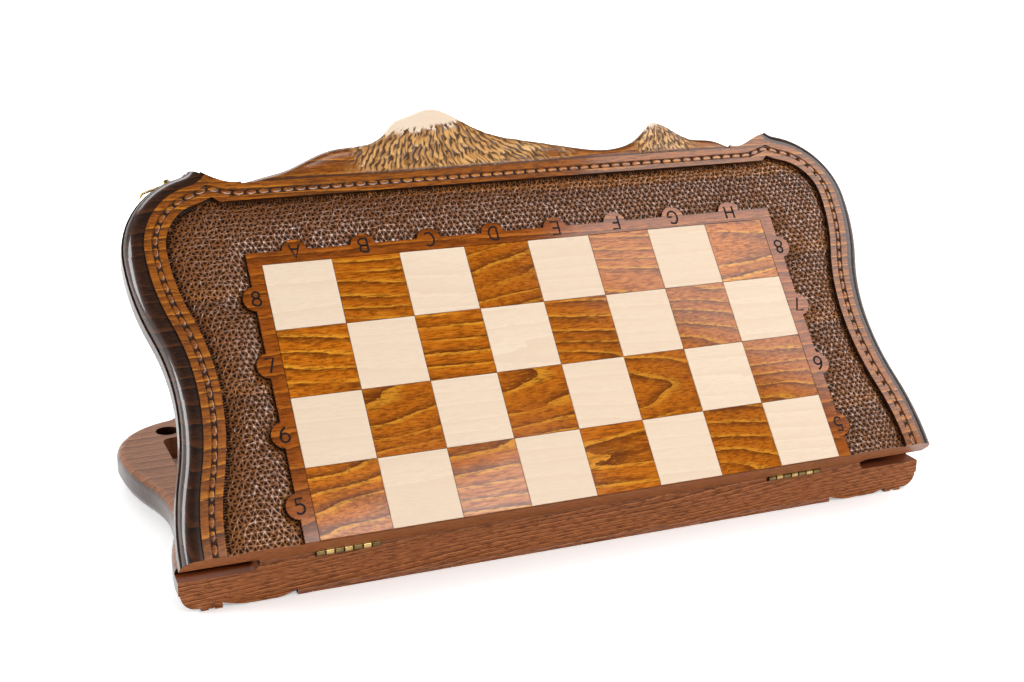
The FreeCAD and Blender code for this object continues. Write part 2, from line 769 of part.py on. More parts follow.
def hinge_screws(leaf, side, hand):
    """The countersunk slotted screws of one plate."""
    name = "%s_%s_screw" % (leaf, side)
    middle = "%d * hinge_centre" % hand
    screws = []
    for number in range(SCREW_COUNT):
        spot = (screw_across(middle, number), "screw_line", "0")
        label = "%s_%d" % (name, number)
        head = cone(label + "_head", "screw_head_radius", "screw_radius", "plate_thickness", spot)
        shank = cylinder(label + "_shank", "screw_radius", "screw_length", spot)
        slot = box(label + "_slot", ("%s - slot_width / 2" % spot[0], "screw_line - screw_head_radius", "0"),
                   ("slot_width", "2 * screw_head_radius", "slot_depth"))
        screws.append(cut(label + "_solid", fuse(label + "_blank", [head, shank]), slot))
    node(seat(group(name + "_group", screws), leaf), "%s_hinge_%s_screws" % (side, leaf))


def hinge_pin(side, hand):
    """The pin through the knuckles, a turned piece with its axis along the spine."""
    body = doc.addObject("PartDesign::Body", side + "_pin_body")
    plane = next(item for item in body.Origin.OriginFeatures if item.Role == "YZ_Plane")
    sketch = body.newObject("Sketcher::SketchObject", side + "_pin_section")
    sketch.AttachmentSupport = [(plane, "")]
    sketch.MapMode = "FlatFace"
    circle = sketch.addGeometry(Part.Circle(Vector(), Vector(0, 0, 1), size("pin_radius")))
    sketch.addConstraint(Sketcher.Constraint("Coincident", circle, 3, -1, 1))
    sketch.addConstraint(Sketcher.Constraint("Radius", circle, size("pin_radius")))
    sketch.setExpression("Constraints[1]", formula("pin_radius"))
    pad = body.newObject("PartDesign::Pad", side + "_pin_length")
    pad.Profile = sketch
    pad.Midplane = True
    bind(pad, Length="hinge_length")
    at(body, "%d * hinge_centre" % hand, "-origin_along", "thickness + joint_gap")
    node(body, side + "_hinge_pin")


# The hooks

def ring_pad(body, name, outer, inner, height, start):
    """A round pad on the body's own XY plane, with or without a hole."""
    plane = next(item for item in body.Origin.OriginFeatures if item.Role == "XY_Plane")
    sketch = body.newObject("Sketcher::SketchObject", name + "_section")
    sketch.AttachmentSupport = [(plane, "")]
    sketch.MapMode = "FlatFace"
    # turned so that the seam of the round faces lies away from a hook's rod
    sketch.AttachmentOffset = Placement(Vector(), Rotation(Vector(0, 0, 1), 180))
    bind(sketch, AttachmentOffset__Base__z=start)
    for number, radius in enumerate(text for text in (outer, inner) if text):
        circle = sketch.addGeometry(Part.Circle(Vector(), Vector(0, 0, 1), number + 1))
        sketch.addConstraint(Sketcher.Constraint("Coincident", circle, 3, -1, 1))
        row = sketch.addConstraint(Sketcher.Constraint("Radius", circle, number + 1))
        sketch.setExpression("Constraints[%d]" % row, formula(radius))
    pad = body.newObject("PartDesign::Pad", name)
    pad.Profile = sketch
    bind(pad, Length=height)
    doc.recompute()
    return pad


def make_hook(side, hand, spin):
    """A hook of bent rod with a flat eye, turned by its swing from the latched way."""
    body = doc.addObject("PartDesign::Body", side + "_hook_body")
    low = "washer_thickness + hook_clearance"
    ring_pad(body, side + "_eye", "eye_radius", "pivot_radius + pivot_clearance", "eye_thickness", low)
    planes = {item.Role: item for item in body.Origin.OriginFeatures}
    mid = "%s + eye_thickness / 2" % low
    path = body.newObject("Sketcher::SketchObject", side + "_rod_path")
    path.AttachmentSupport = [(planes["XY_Plane"], "")]
    path.MapMode = "FlatFace"
    bind(path, AttachmentOffset__Base__z=mid)
    # the bend turns towards the stud: the way that the hook closes
    way = hand
    start, reach, bend, tip = (size(key) for key in ("pivot_radius", "hook_reach", "bend_radius", "tip_length"))
    start += size("rod_radius")
    rod = path.addGeometry(Part.LineSegment(Vector(start, 0, 0), Vector(reach, 0, 0)))
    quarter = Part.Circle(Vector(reach, way * bend, 0), Vector(0, 0, 1), bend)
    first, last = (0, math.pi / 2) if way < 0 else (-math.pi / 2, 0)
    arc = path.addGeometry(Part.ArcOfCircle(quarter, first, last))
    end = path.addGeometry(Part.LineSegment(Vector(reach + bend, way * bend, 0),
                                            Vector(reach + bend, way * (bend + tip), 0)))
    near, far = (2, 1) if way < 0 else (1, 2)
    for constraint in (
        Sketcher.Constraint("PointOnObject", rod, 1, -1),
        Sketcher.Constraint("Horizontal", rod),
        Sketcher.Constraint("Tangent", rod, 2, arc, near),
        Sketcher.Constraint("Tangent", arc, far, end, 1),
        Sketcher.Constraint("Vertical", end),
    ):
        path.addConstraint(constraint)
    for constraint, text in (
        (Sketcher.Constraint("DistanceX", -1, 1, rod, 1, start), "pivot_radius + rod_radius"),
        (Sketcher.Constraint("DistanceX", -1, 1, rod, 2, reach), "hook_reach"),
        (Sketcher.Constraint("Radius", arc, bend), "bend_radius"),
        (Sketcher.Constraint("Distance", end, tip), "tip_length"),
    ):
        row = path.addConstraint(constraint)
        path.setExpression("Constraints[%d]" % row, formula(text))
    section = body.newObject("Sketcher::SketchObject", side + "_rod_section")
    section.AttachmentSupport = [(planes["YZ_Plane"], "")]
    section.MapMode = "FlatFace"
    bind(section, AttachmentOffset__Base__z="pivot_radius + rod_radius", AttachmentOffset__Base__y=mid)
    circle = section.addGeometry(Part.Circle(Vector(), Vector(0, 0, 1), size("rod_radius")))
    section.addConstraint(Sketcher.Constraint("Coincident", circle, 3, -1, 1))
    row = section.addConstraint(Sketcher.Constraint("Radius", circle, size("rod_radius")))
    section.setExpression("Constraints[%d]" % row, formula("rod_radius"))
    doc.recompute()
    pipe = body.newObject("PartDesign::AdditivePipe", side + "_rod")
    pipe.Profile = section
    pipe.Spine = (path, ["Edge1", "Edge2", "Edge3"])
    doc.recompute()
    local = shoulder_placement(hand, size("pivot_height"), -size("seat_depth"), spin)
    body.Placement = leaf_placement("upper").multiply(local)
    node(body, side + "_hook")


def make_pivot(side, hand):
    """The screw that a hook turns on, and the washer below the hook."""
    local = shoulder_placement(hand, size("pivot_height"), -size("seat_depth"), 0)
    place = leaf_placement("upper").multiply(local)
    screw = doc.addObject("PartDesign::Body", side + "_pivot_body")
    rise = "washer_thickness + eye_thickness + 2 * hook_clearance"
    ring_pad(screw, side + "_pivot_shank", "pivot_radius", "", "pivot_length + %s" % rise, "-pivot_length")
    ring_pad(screw, side + "_pivot_head", "pivot_head_radius", "", "pivot_head_height", rise)
    screw.Placement = place
    node(screw, side + "_hook_screw")
    washer = doc.addObject("PartDesign::Body", side + "_washer_body")
    ring_pad(washer, side + "_washer", "washer_radius", "pivot_radius + pivot_clearance", "washer_thickness", "0")
    washer.Placement = place
    node(washer, side + "_hook_washer")


def make_stud(side, hand):
    """The headed stud on the lower leaf that the latched hook goes round."""
    body = doc.addObject("PartDesign::Body", side + "_stud_body")
    rise = "washer_thickness + eye_thickness + 2 * hook_clearance"
    ring_pad(body, side + "_stud_shank", "stud_radius", "", "pivot_length + %s" % rise, "-pivot_length")
    ring_pad(body, side + "_stud_head", "stud_head_radius", "", "stud_head_height", rise)
    body.Placement = leaf_placement("lower").multiply(stud_placement(hand))
    node(body, side + "_catch_stud")


for leaf_name in LEAVES:
    make_slab(leaf_name)
    make_board(leaf_name)
    make_ground(leaf_name)
    make_tray(leaf_name)
for side_name, side_hand in (("left", -1), ("right", 1)):
    hinge_plate("upper", side_name, side_hand)
    hinge_plate("lower", side_name, -side_hand)
    hinge_screws("upper", side_name, side_hand)
    hinge_screws("lower", side_name, -side_hand)
    hinge_pin(side_name, side_hand)
    make_hook(side_name, side_hand, size(side_name + "_swing_angle"))
    make_pivot(side_name, side_hand)
    make_stud(side_name, side_hand)
doc.recompute()

for thing in doc.Objects:
    if any(word in ("Invalid", "Error") for word in thing.State):
        raise RuntimeError("%s failed: %s" % (thing.Name, thing.State))
for thing in NODES:
    if thing.Shape.isNull() or not thing.Shape.isValid():
        raise RuntimeError("%s has no valid shape" % thing.Label)
os.makedirs("parts", exist_ok=True)
for thing in NODES:
    thing.Shape.exportStep("parts/%s.step" % thing.Label)
    print("%-28s %d solids %12.1f mm3" % (thing.Label, len(thing.Shape.Solids), thing.Shape.Volume))
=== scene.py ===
"""Dresses a folding games case: two carved wooden leaves, a chess board outside and trays inside.

Each leaf is worked in its own frame: X along the spine, Y from the spine to the crest and
Z from the mating face to the chess face. Lengths are metres.
"""
import logging
import math
from abc import ABC, abstractmethod
from dataclasses import dataclass
from enum import Enum
from typing import Any, Iterable, Sequence

import bpy
import numpy as np
from mathutils import Euler, Matrix, Vector


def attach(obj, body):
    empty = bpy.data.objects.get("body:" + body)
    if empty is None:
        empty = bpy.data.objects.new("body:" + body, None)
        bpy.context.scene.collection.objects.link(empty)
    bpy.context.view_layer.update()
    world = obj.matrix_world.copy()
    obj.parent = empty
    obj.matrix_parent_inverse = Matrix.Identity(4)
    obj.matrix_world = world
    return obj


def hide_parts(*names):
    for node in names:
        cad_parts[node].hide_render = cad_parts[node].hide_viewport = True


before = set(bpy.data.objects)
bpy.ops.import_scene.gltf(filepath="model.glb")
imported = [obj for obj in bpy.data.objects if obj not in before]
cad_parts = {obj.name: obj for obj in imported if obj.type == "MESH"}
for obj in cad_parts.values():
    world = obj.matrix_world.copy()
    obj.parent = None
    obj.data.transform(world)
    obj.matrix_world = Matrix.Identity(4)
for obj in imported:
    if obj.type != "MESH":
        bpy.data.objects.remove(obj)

LOG = logging.getLogger("games_case")
Colour = tuple[float, float, float, float]
Socket = bpy.types.NodeSocket
MM = 0.001
# The side of a square of the chess board.
SQUARE = 44 * MM


class Leaf(Enum):
    """The two leaves of the case, by the names of their bodies."""

    UPPER = "upper"
    LOWER = "lower"


class Side(Enum):
    """The two ends of the spine, which carry a hinge and a hook each."""

    LEFT = "left"
    RIGHT = "right"


def shade(red: int, green: int, blue: int) -> Colour:
    """A colour from the values that a paint chart gives.

    Args:
        red: Red from 0 to 255.
        green: Green from 0 to 255.
        blue: Blue from 0 to 255.

    Returns:
        The linear colour with full alpha.
    """
    def straight(value: int) -> float:
        """One channel without the display curve."""
        part = value / 255
        return part / 12.92 if part <= 0.04045 else ((part + 0.055) / 1.055) ** 2.4

    return (straight(red), straight(green), straight(blue), 1.0)


# The leaves' frames and outline


@dataclass(frozen=True)
class LeafFrame:
    """Where the leaves lie when the case stands half open."""

    thickness: float = 25 * MM
    joint_gap: float = 0.15 * MM
    origin_along: float = 130.16 * MM
    fold: float = math.radians(49)

    def turn(self, leaf: Leaf) -> Euler:
        """The rotation of a leaf's frame."""
        return Euler((self.fold, 0, 0)) if leaf is Leaf.UPPER else Euler((0, math.pi, 0))

    def place(self, leaf: Leaf) -> Vector:
        """The origin of a leaf's frame.

        Args:
            leaf: The leaf.

        Returns:
            The origin, where the hinge line lies just off the leaf's edge.
        """
        if leaf is Leaf.LOWER:
            return Vector((0, self.joint_gap - self.origin_along, self.thickness))
        across = self.joint_gap * (math.cos(self.fold) - math.sin(self.fold))
        rise = self.joint_gap * (1 + math.cos(self.fold) + math.sin(self.fold))
        return Vector((0, across - self.origin_along, self.thickness + rise))

    def matrix(self, leaf: Leaf) -> Matrix:
        """The way from a leaf's frame to the case's frame."""
        return Matrix.Translation(self.place(leaf)) @ self.turn(leaf).to_matrix().to_4x4()


@dataclass(frozen=True)
class Arc:
    """One arc of the outline. Its bulge is 1 where the leaf swells and -1 where it is waisted."""

    x: float
    y: float
    radius: float
    first: float
    last: float
    bulge: int

    def points(self, offset: float, share: float, step: float) -> np.ndarray:
        """Points along the arc at a distance outside it.

        Args:
            offset: The distance outside the arc.
            share: How much of the arc is followed.
            step: The distance between points.

        Returns:
            An array of points, one row each.
        """
        reach = self.radius + self.bulge * offset
        sweep = math.radians(self.last - self.first) * share
        count = max(2, round(abs(sweep) * reach / step))
        angle = math.radians(self.first) + sweep * np.linspace(0, 1, count + 1)
        return np.column_stack((self.x + reach * np.cos(angle), self.y + reach * np.sin(angle)))


@dataclass(frozen=True)
class Outline:
    """The outer edge of the flat frame on the chess face, and what lies along it."""

    spine_half: float = 242.4 * MM
    waist_half: float = 228.4 * MM
    waist_along: float = 97 * MM
    bulge_half: float = 244.2 * MM
    bulge_along: float = 191 * MM
    shoulder_radius: float = 44 * MM
    shoulder_angle: float = 76
    upturn_radius: float = 20 * MM
    upturn_angle: float = 40
    frame_width: float = 12.8 * MM
    band_rise: float = 30.5 * MM
    cusp_run: float = 4.7 * MM
    cusp_share: float = 0.45
    chain_rise: float = 35.8 * MM
    chain_run: float = 15.2 * MM
    chain_share: float = 0.55

    def arcs(self) -> list[Arc]:
        """The arcs of the right side.

        Returns:
            Six arcs, from the spine to the corner peak.
        """
        arcs: list[Arc] = []
        stations = ((self.spine_half, 0.0), (self.waist_half, self.waist_along),
                    (self.bulge_half, self.bulge_along))
        for (x0, y0), (x1, y1) in zip(stations, stations[1:]):
            shift, run = x1 - x0, y1 - y0
            radius = (shift ** 2 + run ** 2) / (4 * abs(shift))
            turn = math.degrees(math.asin(run / 2 / radius))
            if shift < 0:
                arcs.append(Arc(x0 - radius, y0, radius, 0, turn, 1))
                arcs.append(Arc(x1 + radius, y1, radius, 180 + turn, 180, -1))
            else:
                arcs.append(Arc(x0 + radius, y0, radius, 180, 180 - turn, -1))
                arcs.append(Arc(x1 - radius, y1, radius, -turn, 0, 1))
        corner = self.bulge_half - self.shoulder_radius
        reach = self.shoulder_radius + self.upturn_radius
        turn = math.radians(self.shoulder_angle)
        back = 180 + self.shoulder_angle
        arcs.append(Arc(corner, self.bulge_along, self.shoulder_radius, 0, self.shoulder_angle, 1))
        arcs.append(Arc(corner + reach * math.cos(turn), self.bulge_along + reach * math.sin(turn),
                        self.upturn_radius, back, back - self.upturn_angle, -1))
        return arcs

    def side(self, offset: float, share: float = 1.0, step: float = 0.5 * MM) -> np.ndarray:
        """Points up the right side.

        Args:
            offset: The distance outside the frame's edge.
            share: How much of the last arc is followed.
            step: The distance between points.

        Returns:
            An array of points, from the spine on.
        """
        arcs = self.arcs()
        runs = [arc.points(offset, share if arc is arcs[-1] else 1.0, step) for arc in arcs]
        return np.vstack([runs[0]] + [run[1:] for run in runs[1:]])

    def _round(self, right: np.ndarray, run: float, rise: float) -> np.ndarray:
        """A line up the right side, a run inwards to its rise past the bulges, and the same mirrored."""
        half = np.vstack((right, [[right[-1, 0] - run, self.bulge_along + rise]]))
        return np.vstack((half, mirrored(half)))

    def ground_edge(self) -> np.ndarray:
        """The frame's inner edge, from the right end of the spine round to the left one."""
        right = self.side(-self.frame_width, self.cusp_share)
        return spaced(self._round(right, self.cusp_run, self.band_rise), 0.5 * MM)

    def chain_line(self) -> np.ndarray:
        """The middle of the chain, from the left end of the spine round to the right one."""
        right = self.side(-self.frame_width / 2, self.chain_share)
        return self._round(right, self.chain_run, self.chain_rise)[::-1]


def mirrored(points: np.ndarray) -> np.ndarray:
    """Points of the other side, in the opposite order."""
    return points[::-1] * np.array([-1.0, 1.0])


def spaced(points: np.ndarray, step: float) -> np.ndarray:
    """Points at even distances along a line of points.

    Args:
        points: The line, one row for each point.
        step: The distance between points.

    Returns:
        The new points, both ends included.
    """
    along = np.concatenate(([0.0], np.cumsum(np.linalg.norm(np.diff(points, axis=0), axis=1))))
    stations = np.linspace(0, along[-1], max(2, round(along[-1] / step) + 1))
    return np.column_stack([np.interp(stations, along, points[:, axis]) for axis in (0, 1)])


def tangents(points: np.ndarray) -> np.ndarray:
    """The unit direction of a line at each of its points."""
    ways = np.gradient(points, axis=0)
    return ways / np.linalg.norm(ways, axis=1, keepdims=True)


def nearest(points: np.ndarray, others: np.ndarray, block: int = 2000) -> np.ndarray:
    """The distance from each point to the closest of some others.

    Args:
        points: The points, one row each.
        others: The points that they are measured to.
        block: How many points are worked at once.

    Returns:
        One distance for each point.
    """
    found = np.empty(len(points))
    for start in range(0, len(points), block):
        ways = points[start:start + block, None, :] - others[None, :, :]
        found[start:start + block] = np.sqrt((ways ** 2).sum(axis=2).min(axis=1))
    return found


def smooth(low: float, high: float, value: np.ndarray) -> np.ndarray:
    """A soft step from 0 at low to 1 at high."""
    part = np.clip((value - low) / (high - low), 0, 1)
    return part * part * (3 - 2 * part)


# Nodes


class Graph:
    """Adds nodes to one tree and joins them."""

    def __init__(self, tree: bpy.types.NodeTree) -> None:
        """Starts on an empty tree."""
        self.tree = tree
        tree.nodes.clear()

    def add(self, kind: str, inputs: dict[Any, Any] | None = None, **settings: Any) -> bpy.types.Node:
        """A new node.

        Args:
            kind: The node's type name.
            inputs: What goes into its sockets: values, or sockets to link.
            settings: The node's own properties.

        Returns:
            The node.
        """
        node = self.tree.nodes.new(kind)
        for name, value in settings.items():
            setattr(node, name, value)
        for name, value in (inputs or {}).items():
            self.feed(node.inputs[name], value)
        return node

    def feed(self, socket: Socket, value: Any) -> None:
        """Links a socket to another, or sets its value.

        Args:
            socket: The socket that receives.
            value: A value, or the socket to link.
        """
        if isinstance(value, Socket):
            self.tree.links.new(value, socket)
        else:
            socket.default_value = value

    def calc(self, operation: str, first: Any, second: Any = 0.0) -> Socket:
        """The result of a sum on one or two numbers."""
        return self.add("ShaderNodeMath", {0: first, 1: second}, operation=operation).outputs[0]

    def blended_sum(self, value: Any, share: Any, rest: Any) -> Socket:
        """A share of one number, added to another."""
        return self.add("ShaderNodeMath", {0: value, 1: share, 2: rest}, operation="MULTIPLY_ADD").outputs[0]

    def all_of(self, first: Any, *others: Any) -> Socket:
        """Where all of some masks hold.

        Args:
            first: A mask from 0 to 1.
            others: The masks that have to hold too.

        Returns:
            Their product.
        """
        found = first
        for other in others:
            found = self.calc("MULTIPLY", found, other)
        return found

    def step(self, value: Any, low: float, high: float) -> Socket:
        """A soft step from 0 at low to 1 at high."""
        inputs = {"Value": value, "From Min": low, "From Max": high}
        return self.add("ShaderNodeMapRange", inputs, interpolation_type="SMOOTHSTEP").outputs[0]

    def blend(self, factor: Any, first: Any, second: Any) -> Socket:
        """A mix of two colours."""
        return self.add("ShaderNodeMix", {0: factor, 6: first, 7: second}, data_type="RGBA").outputs[2]

    def vector(self, operation: str, first: Any, second: Any = (0, 0, 0)) -> Socket:
        """The result of a sum on one or two vectors."""
        return self.add("ShaderNodeVectorMath", {0: first, 1: second}, operation=operation).outputs[0]

    def stretched(self, vector: Any, scale: Sequence[float]) -> Socket:
        """A vector with each axis scaled."""
        return self.vector("MULTIPLY", vector, tuple(scale))

    def away(self, vector: Any, middle: Sequence[float]) -> Socket:
        """How far a place lies from a middle."""
        node = self.add("ShaderNodeVectorMath", {0: vector, 1: tuple(middle)}, operation="DISTANCE")
        return node.outputs["Value"]

    def apart(self, vector: Any) -> tuple[Socket, ...]:
        """The three parts of a vector."""
        return tuple(self.add("ShaderNodeSeparateXYZ", {0: vector}).outputs)

    def noise(self, vector: Any, scale: float, detail: float = 3.0, rough: float = 0.55) -> Socket:
        """Soft noise from 0 to 1."""
        inputs = {"Vector": vector, "Scale": scale, "Detail": detail, "Roughness": rough}
        return self.add("ShaderNodeTexNoise", inputs).outputs[0]

    def centred(self, chance: Any) -> Socket:
        """Numbers of chance from 0 to 1, brought about nought."""
        return self.vector("SUBTRACT", chance, (0.5, 0.5, 0.5))

    def mark(self, name: str) -> Socket:
        """A value that a carved mesh carries at its corners."""
        return self.add("ShaderNodeAttribute", attribute_name=name).outputs["Fac"]

    def ramp(self, value: Any, stops: Iterable[tuple[float, Colour]]) -> Socket:
        """Colours along a number.

        Args:
            value: The number.
            stops: Places from 0 to 1, each with its colour.

        Returns:
            The colour.
        """
        node = self.add("ShaderNodeValToRGB", {0: value})
        elements = node.color_ramp.elements
        chosen = list(stops)
        while len(elements) < len(chosen):
            elements.new(1.0)
        for element, (place, colour) in zip(elements, chosen):
            element.position = place
            element.color = colour
        return node.outputs[0]

    def background_rays(self) -> Socket:
        """One for the rays that show the background, nought for those that only light the case.

        Returns:
            The mask.
        """
        path = self.add("ShaderNodeLightPath").outputs
        shown = self.calc("MAXIMUM", path["Is Camera Ray"], path["Is Glossy Ray"])
        return self.calc("MAXIMUM", shown, path["Is Transmission Ray"])


class SharedEffects:
    """The node groups that several finishes use, each built once."""

    # How far the heart of the log lies from a square's near corner on the mating face.
    HEART = (22 * MM, 33 * MM, 59 * MM)
    # How a board lies in its log: its place and its lean.
    LOG_PLACE = (0, 0.011, 0.034)
    LOG_LEAN = (0, 0.07, 0.03)
    # Fine jags and slow bends of the rings: stretch, detail, roughness and reach of each.
    BENDS = (((150, 80, 80), 5.0, 0.65, 1.6 * MM), ((3, 34, 34), 2.0, 0.5, 20 * MM))
    # How much slower the figure changes along the grain than across it.
    GRAIN_DRAW = 0.16
    # A wave texture of scale 1 makes this many turns in a metre.
    WAVE_TURNS = 20 / math.tau
    FIBRES = (130, 900, 900)
    CLOUDS = (16, 55, 55)
    CELL_SEED = (17.3, 41.7, 3.1)
    # How far apart the squares are cut in their log.
    CELL_SPREAD = (0.9, 0.13, 0.03)
    GLOSS_PATCHES = 60.0
    VARNISH_GRIT = 1400.0

    def __init__(self) -> None:
        """Builds the groups."""
        self.grain = self._grain()
        self.cells = self._cells()
        self.varnish = self._varnish()

    @staticmethod
    def _group(name: str, inputs: dict[str, float | None],
               outputs: dict[str, str]) -> tuple[Graph, Any, Any]:
        """An empty group with its sockets.

        Args:
            name: The group's name.
            inputs: The usual value of each number that goes in, or None for a vector.
            outputs: The kind of each socket that comes out.

        Returns:
            The group's tree, the sockets given to it and the sockets that it fills.
        """
        tree = bpy.data.node_groups.new(name, "ShaderNodeTree")
        for label, value in inputs.items():
            kind = "NodeSocketVector" if value is None else "NodeSocketFloat"
            socket = tree.interface.new_socket(name=label, in_out="INPUT", socket_type=kind)
            if value is not None:
                socket.default_value = value
        for label, kind in outputs.items():
            tree.interface.new_socket(name=label, in_out="OUTPUT", socket_type=kind)
        graph = Graph(tree)
        return graph, graph.add("NodeGroupInput").outputs, graph.add("NodeGroupOutput").inputs

    def _grain(self) -> bpy.types.NodeTree:
        """Growth rings, fibres and clouds of wood that grew along X.

        Returns:
            The group.
        """
        graph, given, made = self._group(
            "wood grain", {"Vector": None, "Ring Size": 6 * MM, "Waviness": 2.0},
            dict.fromkeys(("Rings", "Fibre", "Cloud"), "NodeSocketFloat"))
        place = given["Vector"]
        leaned = {"Vector": place, "Location": self.LOG_PLACE, "Rotation": self.LOG_LEAN}
        warped = graph.add("ShaderNodeMapping", leaned).outputs[0]
        for stretch, detail, rough, reach in self.BENDS:
            inputs = {"Vector": graph.stretched(place, stretch), "Scale": 1.0, "Detail": detail,
                      "Roughness": rough}
            bend = graph.centred(graph.add("ShaderNodeTexNoise", inputs).outputs["Color"])
            warped = graph.vector("ADD", warped, graph.stretched(bend, (0, reach, reach)))
        drawn = graph.stretched(warped, (self.GRAIN_DRAW, 1, 1))
        tight = graph.calc("DIVIDE", 1 / self.WAVE_TURNS, given["Ring Size"])
        scaled = graph.add("ShaderNodeVectorMath", {0: drawn, "Scale": tight}, operation="SCALE").outputs[0]
        inputs = {"Vector": scaled, "Scale": 1.0, "Distortion": given["Waviness"], "Detail": 2.0,
                  "Detail Scale": 0.7, "Detail Roughness": 0.55}
        wave = graph.add("ShaderNodeTexWave", inputs, wave_type="RINGS", rings_direction="X",
                         wave_profile="SAW")
        graph.feed(made["Rings"], wave.outputs["Fac"])
        graph.feed(made["Fibre"], graph.noise(graph.stretched(place, self.FIBRES), 1.0, 4.0, 0.65))
        graph.feed(made["Cloud"], graph.noise(graph.stretched(place, self.CLOUDS), 1.0))
        return graph.tree

    def _cells(self) -> bpy.types.NodeTree:
        """A place in a log of its own for each square, and a tone for it.

        Returns:
            The group.
        """
        graph, given, made = self._group("square by square", {"Vector": None, "Tilt": 0.3},
                                         {"Vector": "NodeSocketVector", "Tone": "NodeSocketFloat"})
        cell = graph.vector("FLOOR", graph.stretched(given["Vector"], (1 / SQUARE, 1 / SQUARE, 0)))
        corner = graph.stretched(cell, (SQUARE, SQUARE, 0))
        inner = graph.vector("SUBTRACT", graph.vector("SUBTRACT", given["Vector"], corner), self.HEART)
        seed = {"Vector": graph.vector("ADD", cell, self.CELL_SEED)}
        chance = graph.add("ShaderNodeTexWhiteNoise", seed, noise_dimensions="3D").outputs
        middle = graph.centred(chance["Color"])
        lean = {"Vector": inner, "Angle": graph.calc("MULTIPLY", graph.apart(middle)[0], given["Tilt"])}
        turned = graph.add("ShaderNodeVectorRotate", lean, rotation_type="Y_AXIS").outputs[0]
        graph.feed(made["Vector"], graph.vector("ADD", turned, graph.stretched(middle, self.CELL_SPREAD)))
        graph.feed(made["Tone"], chance["Value"])
        return graph.tree

    def _varnish(self) -> bpy.types.NodeTree:
        """Uneven gloss and brush-out of a hand-laid varnish.

        Returns:
            The group.
        """
        graph, given, made = self._group("varnish", {"Vector": None, "Roughness": 0.3, "Spread": 0.1},
                                         dict.fromkeys(("Roughness", "Height"), "NodeSocketFloat"))
        uneven = graph.calc("SUBTRACT", graph.noise(given["Vector"], self.GLOSS_PATCHES, 4.0), 0.5)
        graph.feed(made["Roughness"], graph.blended_sum(uneven, given["Spread"], given["Roughness"]))
        graph.feed(made["Height"], graph.noise(given["Vector"], self.VARNISH_GRIT, 2.0))
        return graph.tree


# Finishes


class Job(Graph):
    """The tree of one material, with its shader and the frame of the leaf that it dresses."""

    def __init__(self, shop: "Workshop", leaf: Leaf, label: str) -> None:
        """Starts a material.

        Args:
            shop: Holds the shared effects and the leaves' frames.
            leaf: The leaf whose grain the material follows.
            label: The material's name.
        """
        self.material = bpy.data.materials.new(label)
        self.material.use_nodes = True
        super().__init__(self.material.node_tree)
        self.shop = shop
        coords = self.add("ShaderNodeTexCoord").outputs
        turn, place = tuple(shop.frame.turn(leaf)), tuple(shop.frame.place(leaf))
        lying = {"Vector": coords["Object"], "Rotation": turn, "Location": place}
        self.local = self.add("ShaderNodeMapping", lying, vector_type="TEXTURE").outputs[0]
        facing = {"Vector": coords["Normal"], "Rotation": turn}
        self.normal = self.add("ShaderNodeMapping", facing, vector_type="TEXTURE").outputs[0]
        self.shader = self.add("ShaderNodeBsdfPrincipled")
        self.add("ShaderNodeOutputMaterial", {"Surface": self.shader.outputs[0]})

    def put(self, socket: str, value: Any) -> None:
        """Feeds one of the shader's sockets."""
        self.feed(self.shader.inputs[socket], value)

    def spine_face(self) -> Socket:
        """One on the faces along the spine, nought elsewhere."""
        near = self.step(self.apart(self.local)[1], 2 * MM, 1 * MM)
        return self.all_of(self.step(self.apart(self.normal)[1], -0.8, -0.95), near)

    def stain(self, colour: Any) -> None:
        """Stains the wood, which is bare walnut where the piece is sawn off at the spine."""
        bare, _ = SPINE_WALNUT.colour(self, self.local)
        self.put("Base Color", self.blend(self.spine_face(), colour, bare))


@dataclass(frozen=True)
class Varnish:
    """How a surface is varnished: its gloss, the coat over it and the depth of its fibres."""

    rough: float
    spread: float = 0.05
    coat: float = 0.0
    coat_rough: float = 0.1
    coat_ior: float = 1.5
    bump: float = 0.03 * MM
    shine: float = 0.5
    grit_share: float = 0.3
    bump_share: float = 0.5

    def lay(self, job: Job, height: Any) -> None:
        """Lays the varnish over a wood.

        Args:
            job: The material's tree.
            height: The height of the wood's own fibres.
        """
        given = {"Vector": job.local, "Roughness": self.rough, "Spread": self.spread}
        made = job.add("ShaderNodeGroup", given, node_tree=job.shop.effects.varnish).outputs
        job.put("Roughness", made["Roughness"])
        job.put("Specular IOR Level", self.shine)
        job.put("Coat Weight", self.coat)
        job.put("Coat Roughness", self.coat_rough)
        job.put("Coat IOR", self.coat_ior)
        raised = {"Height": job.blended_sum(made["Height"], self.grit_share, height),
                  "Strength": self.bump_share, "Distance": self.bump}
        job.put("Normal", job.add("ShaderNodeBump", raised).outputs[0])


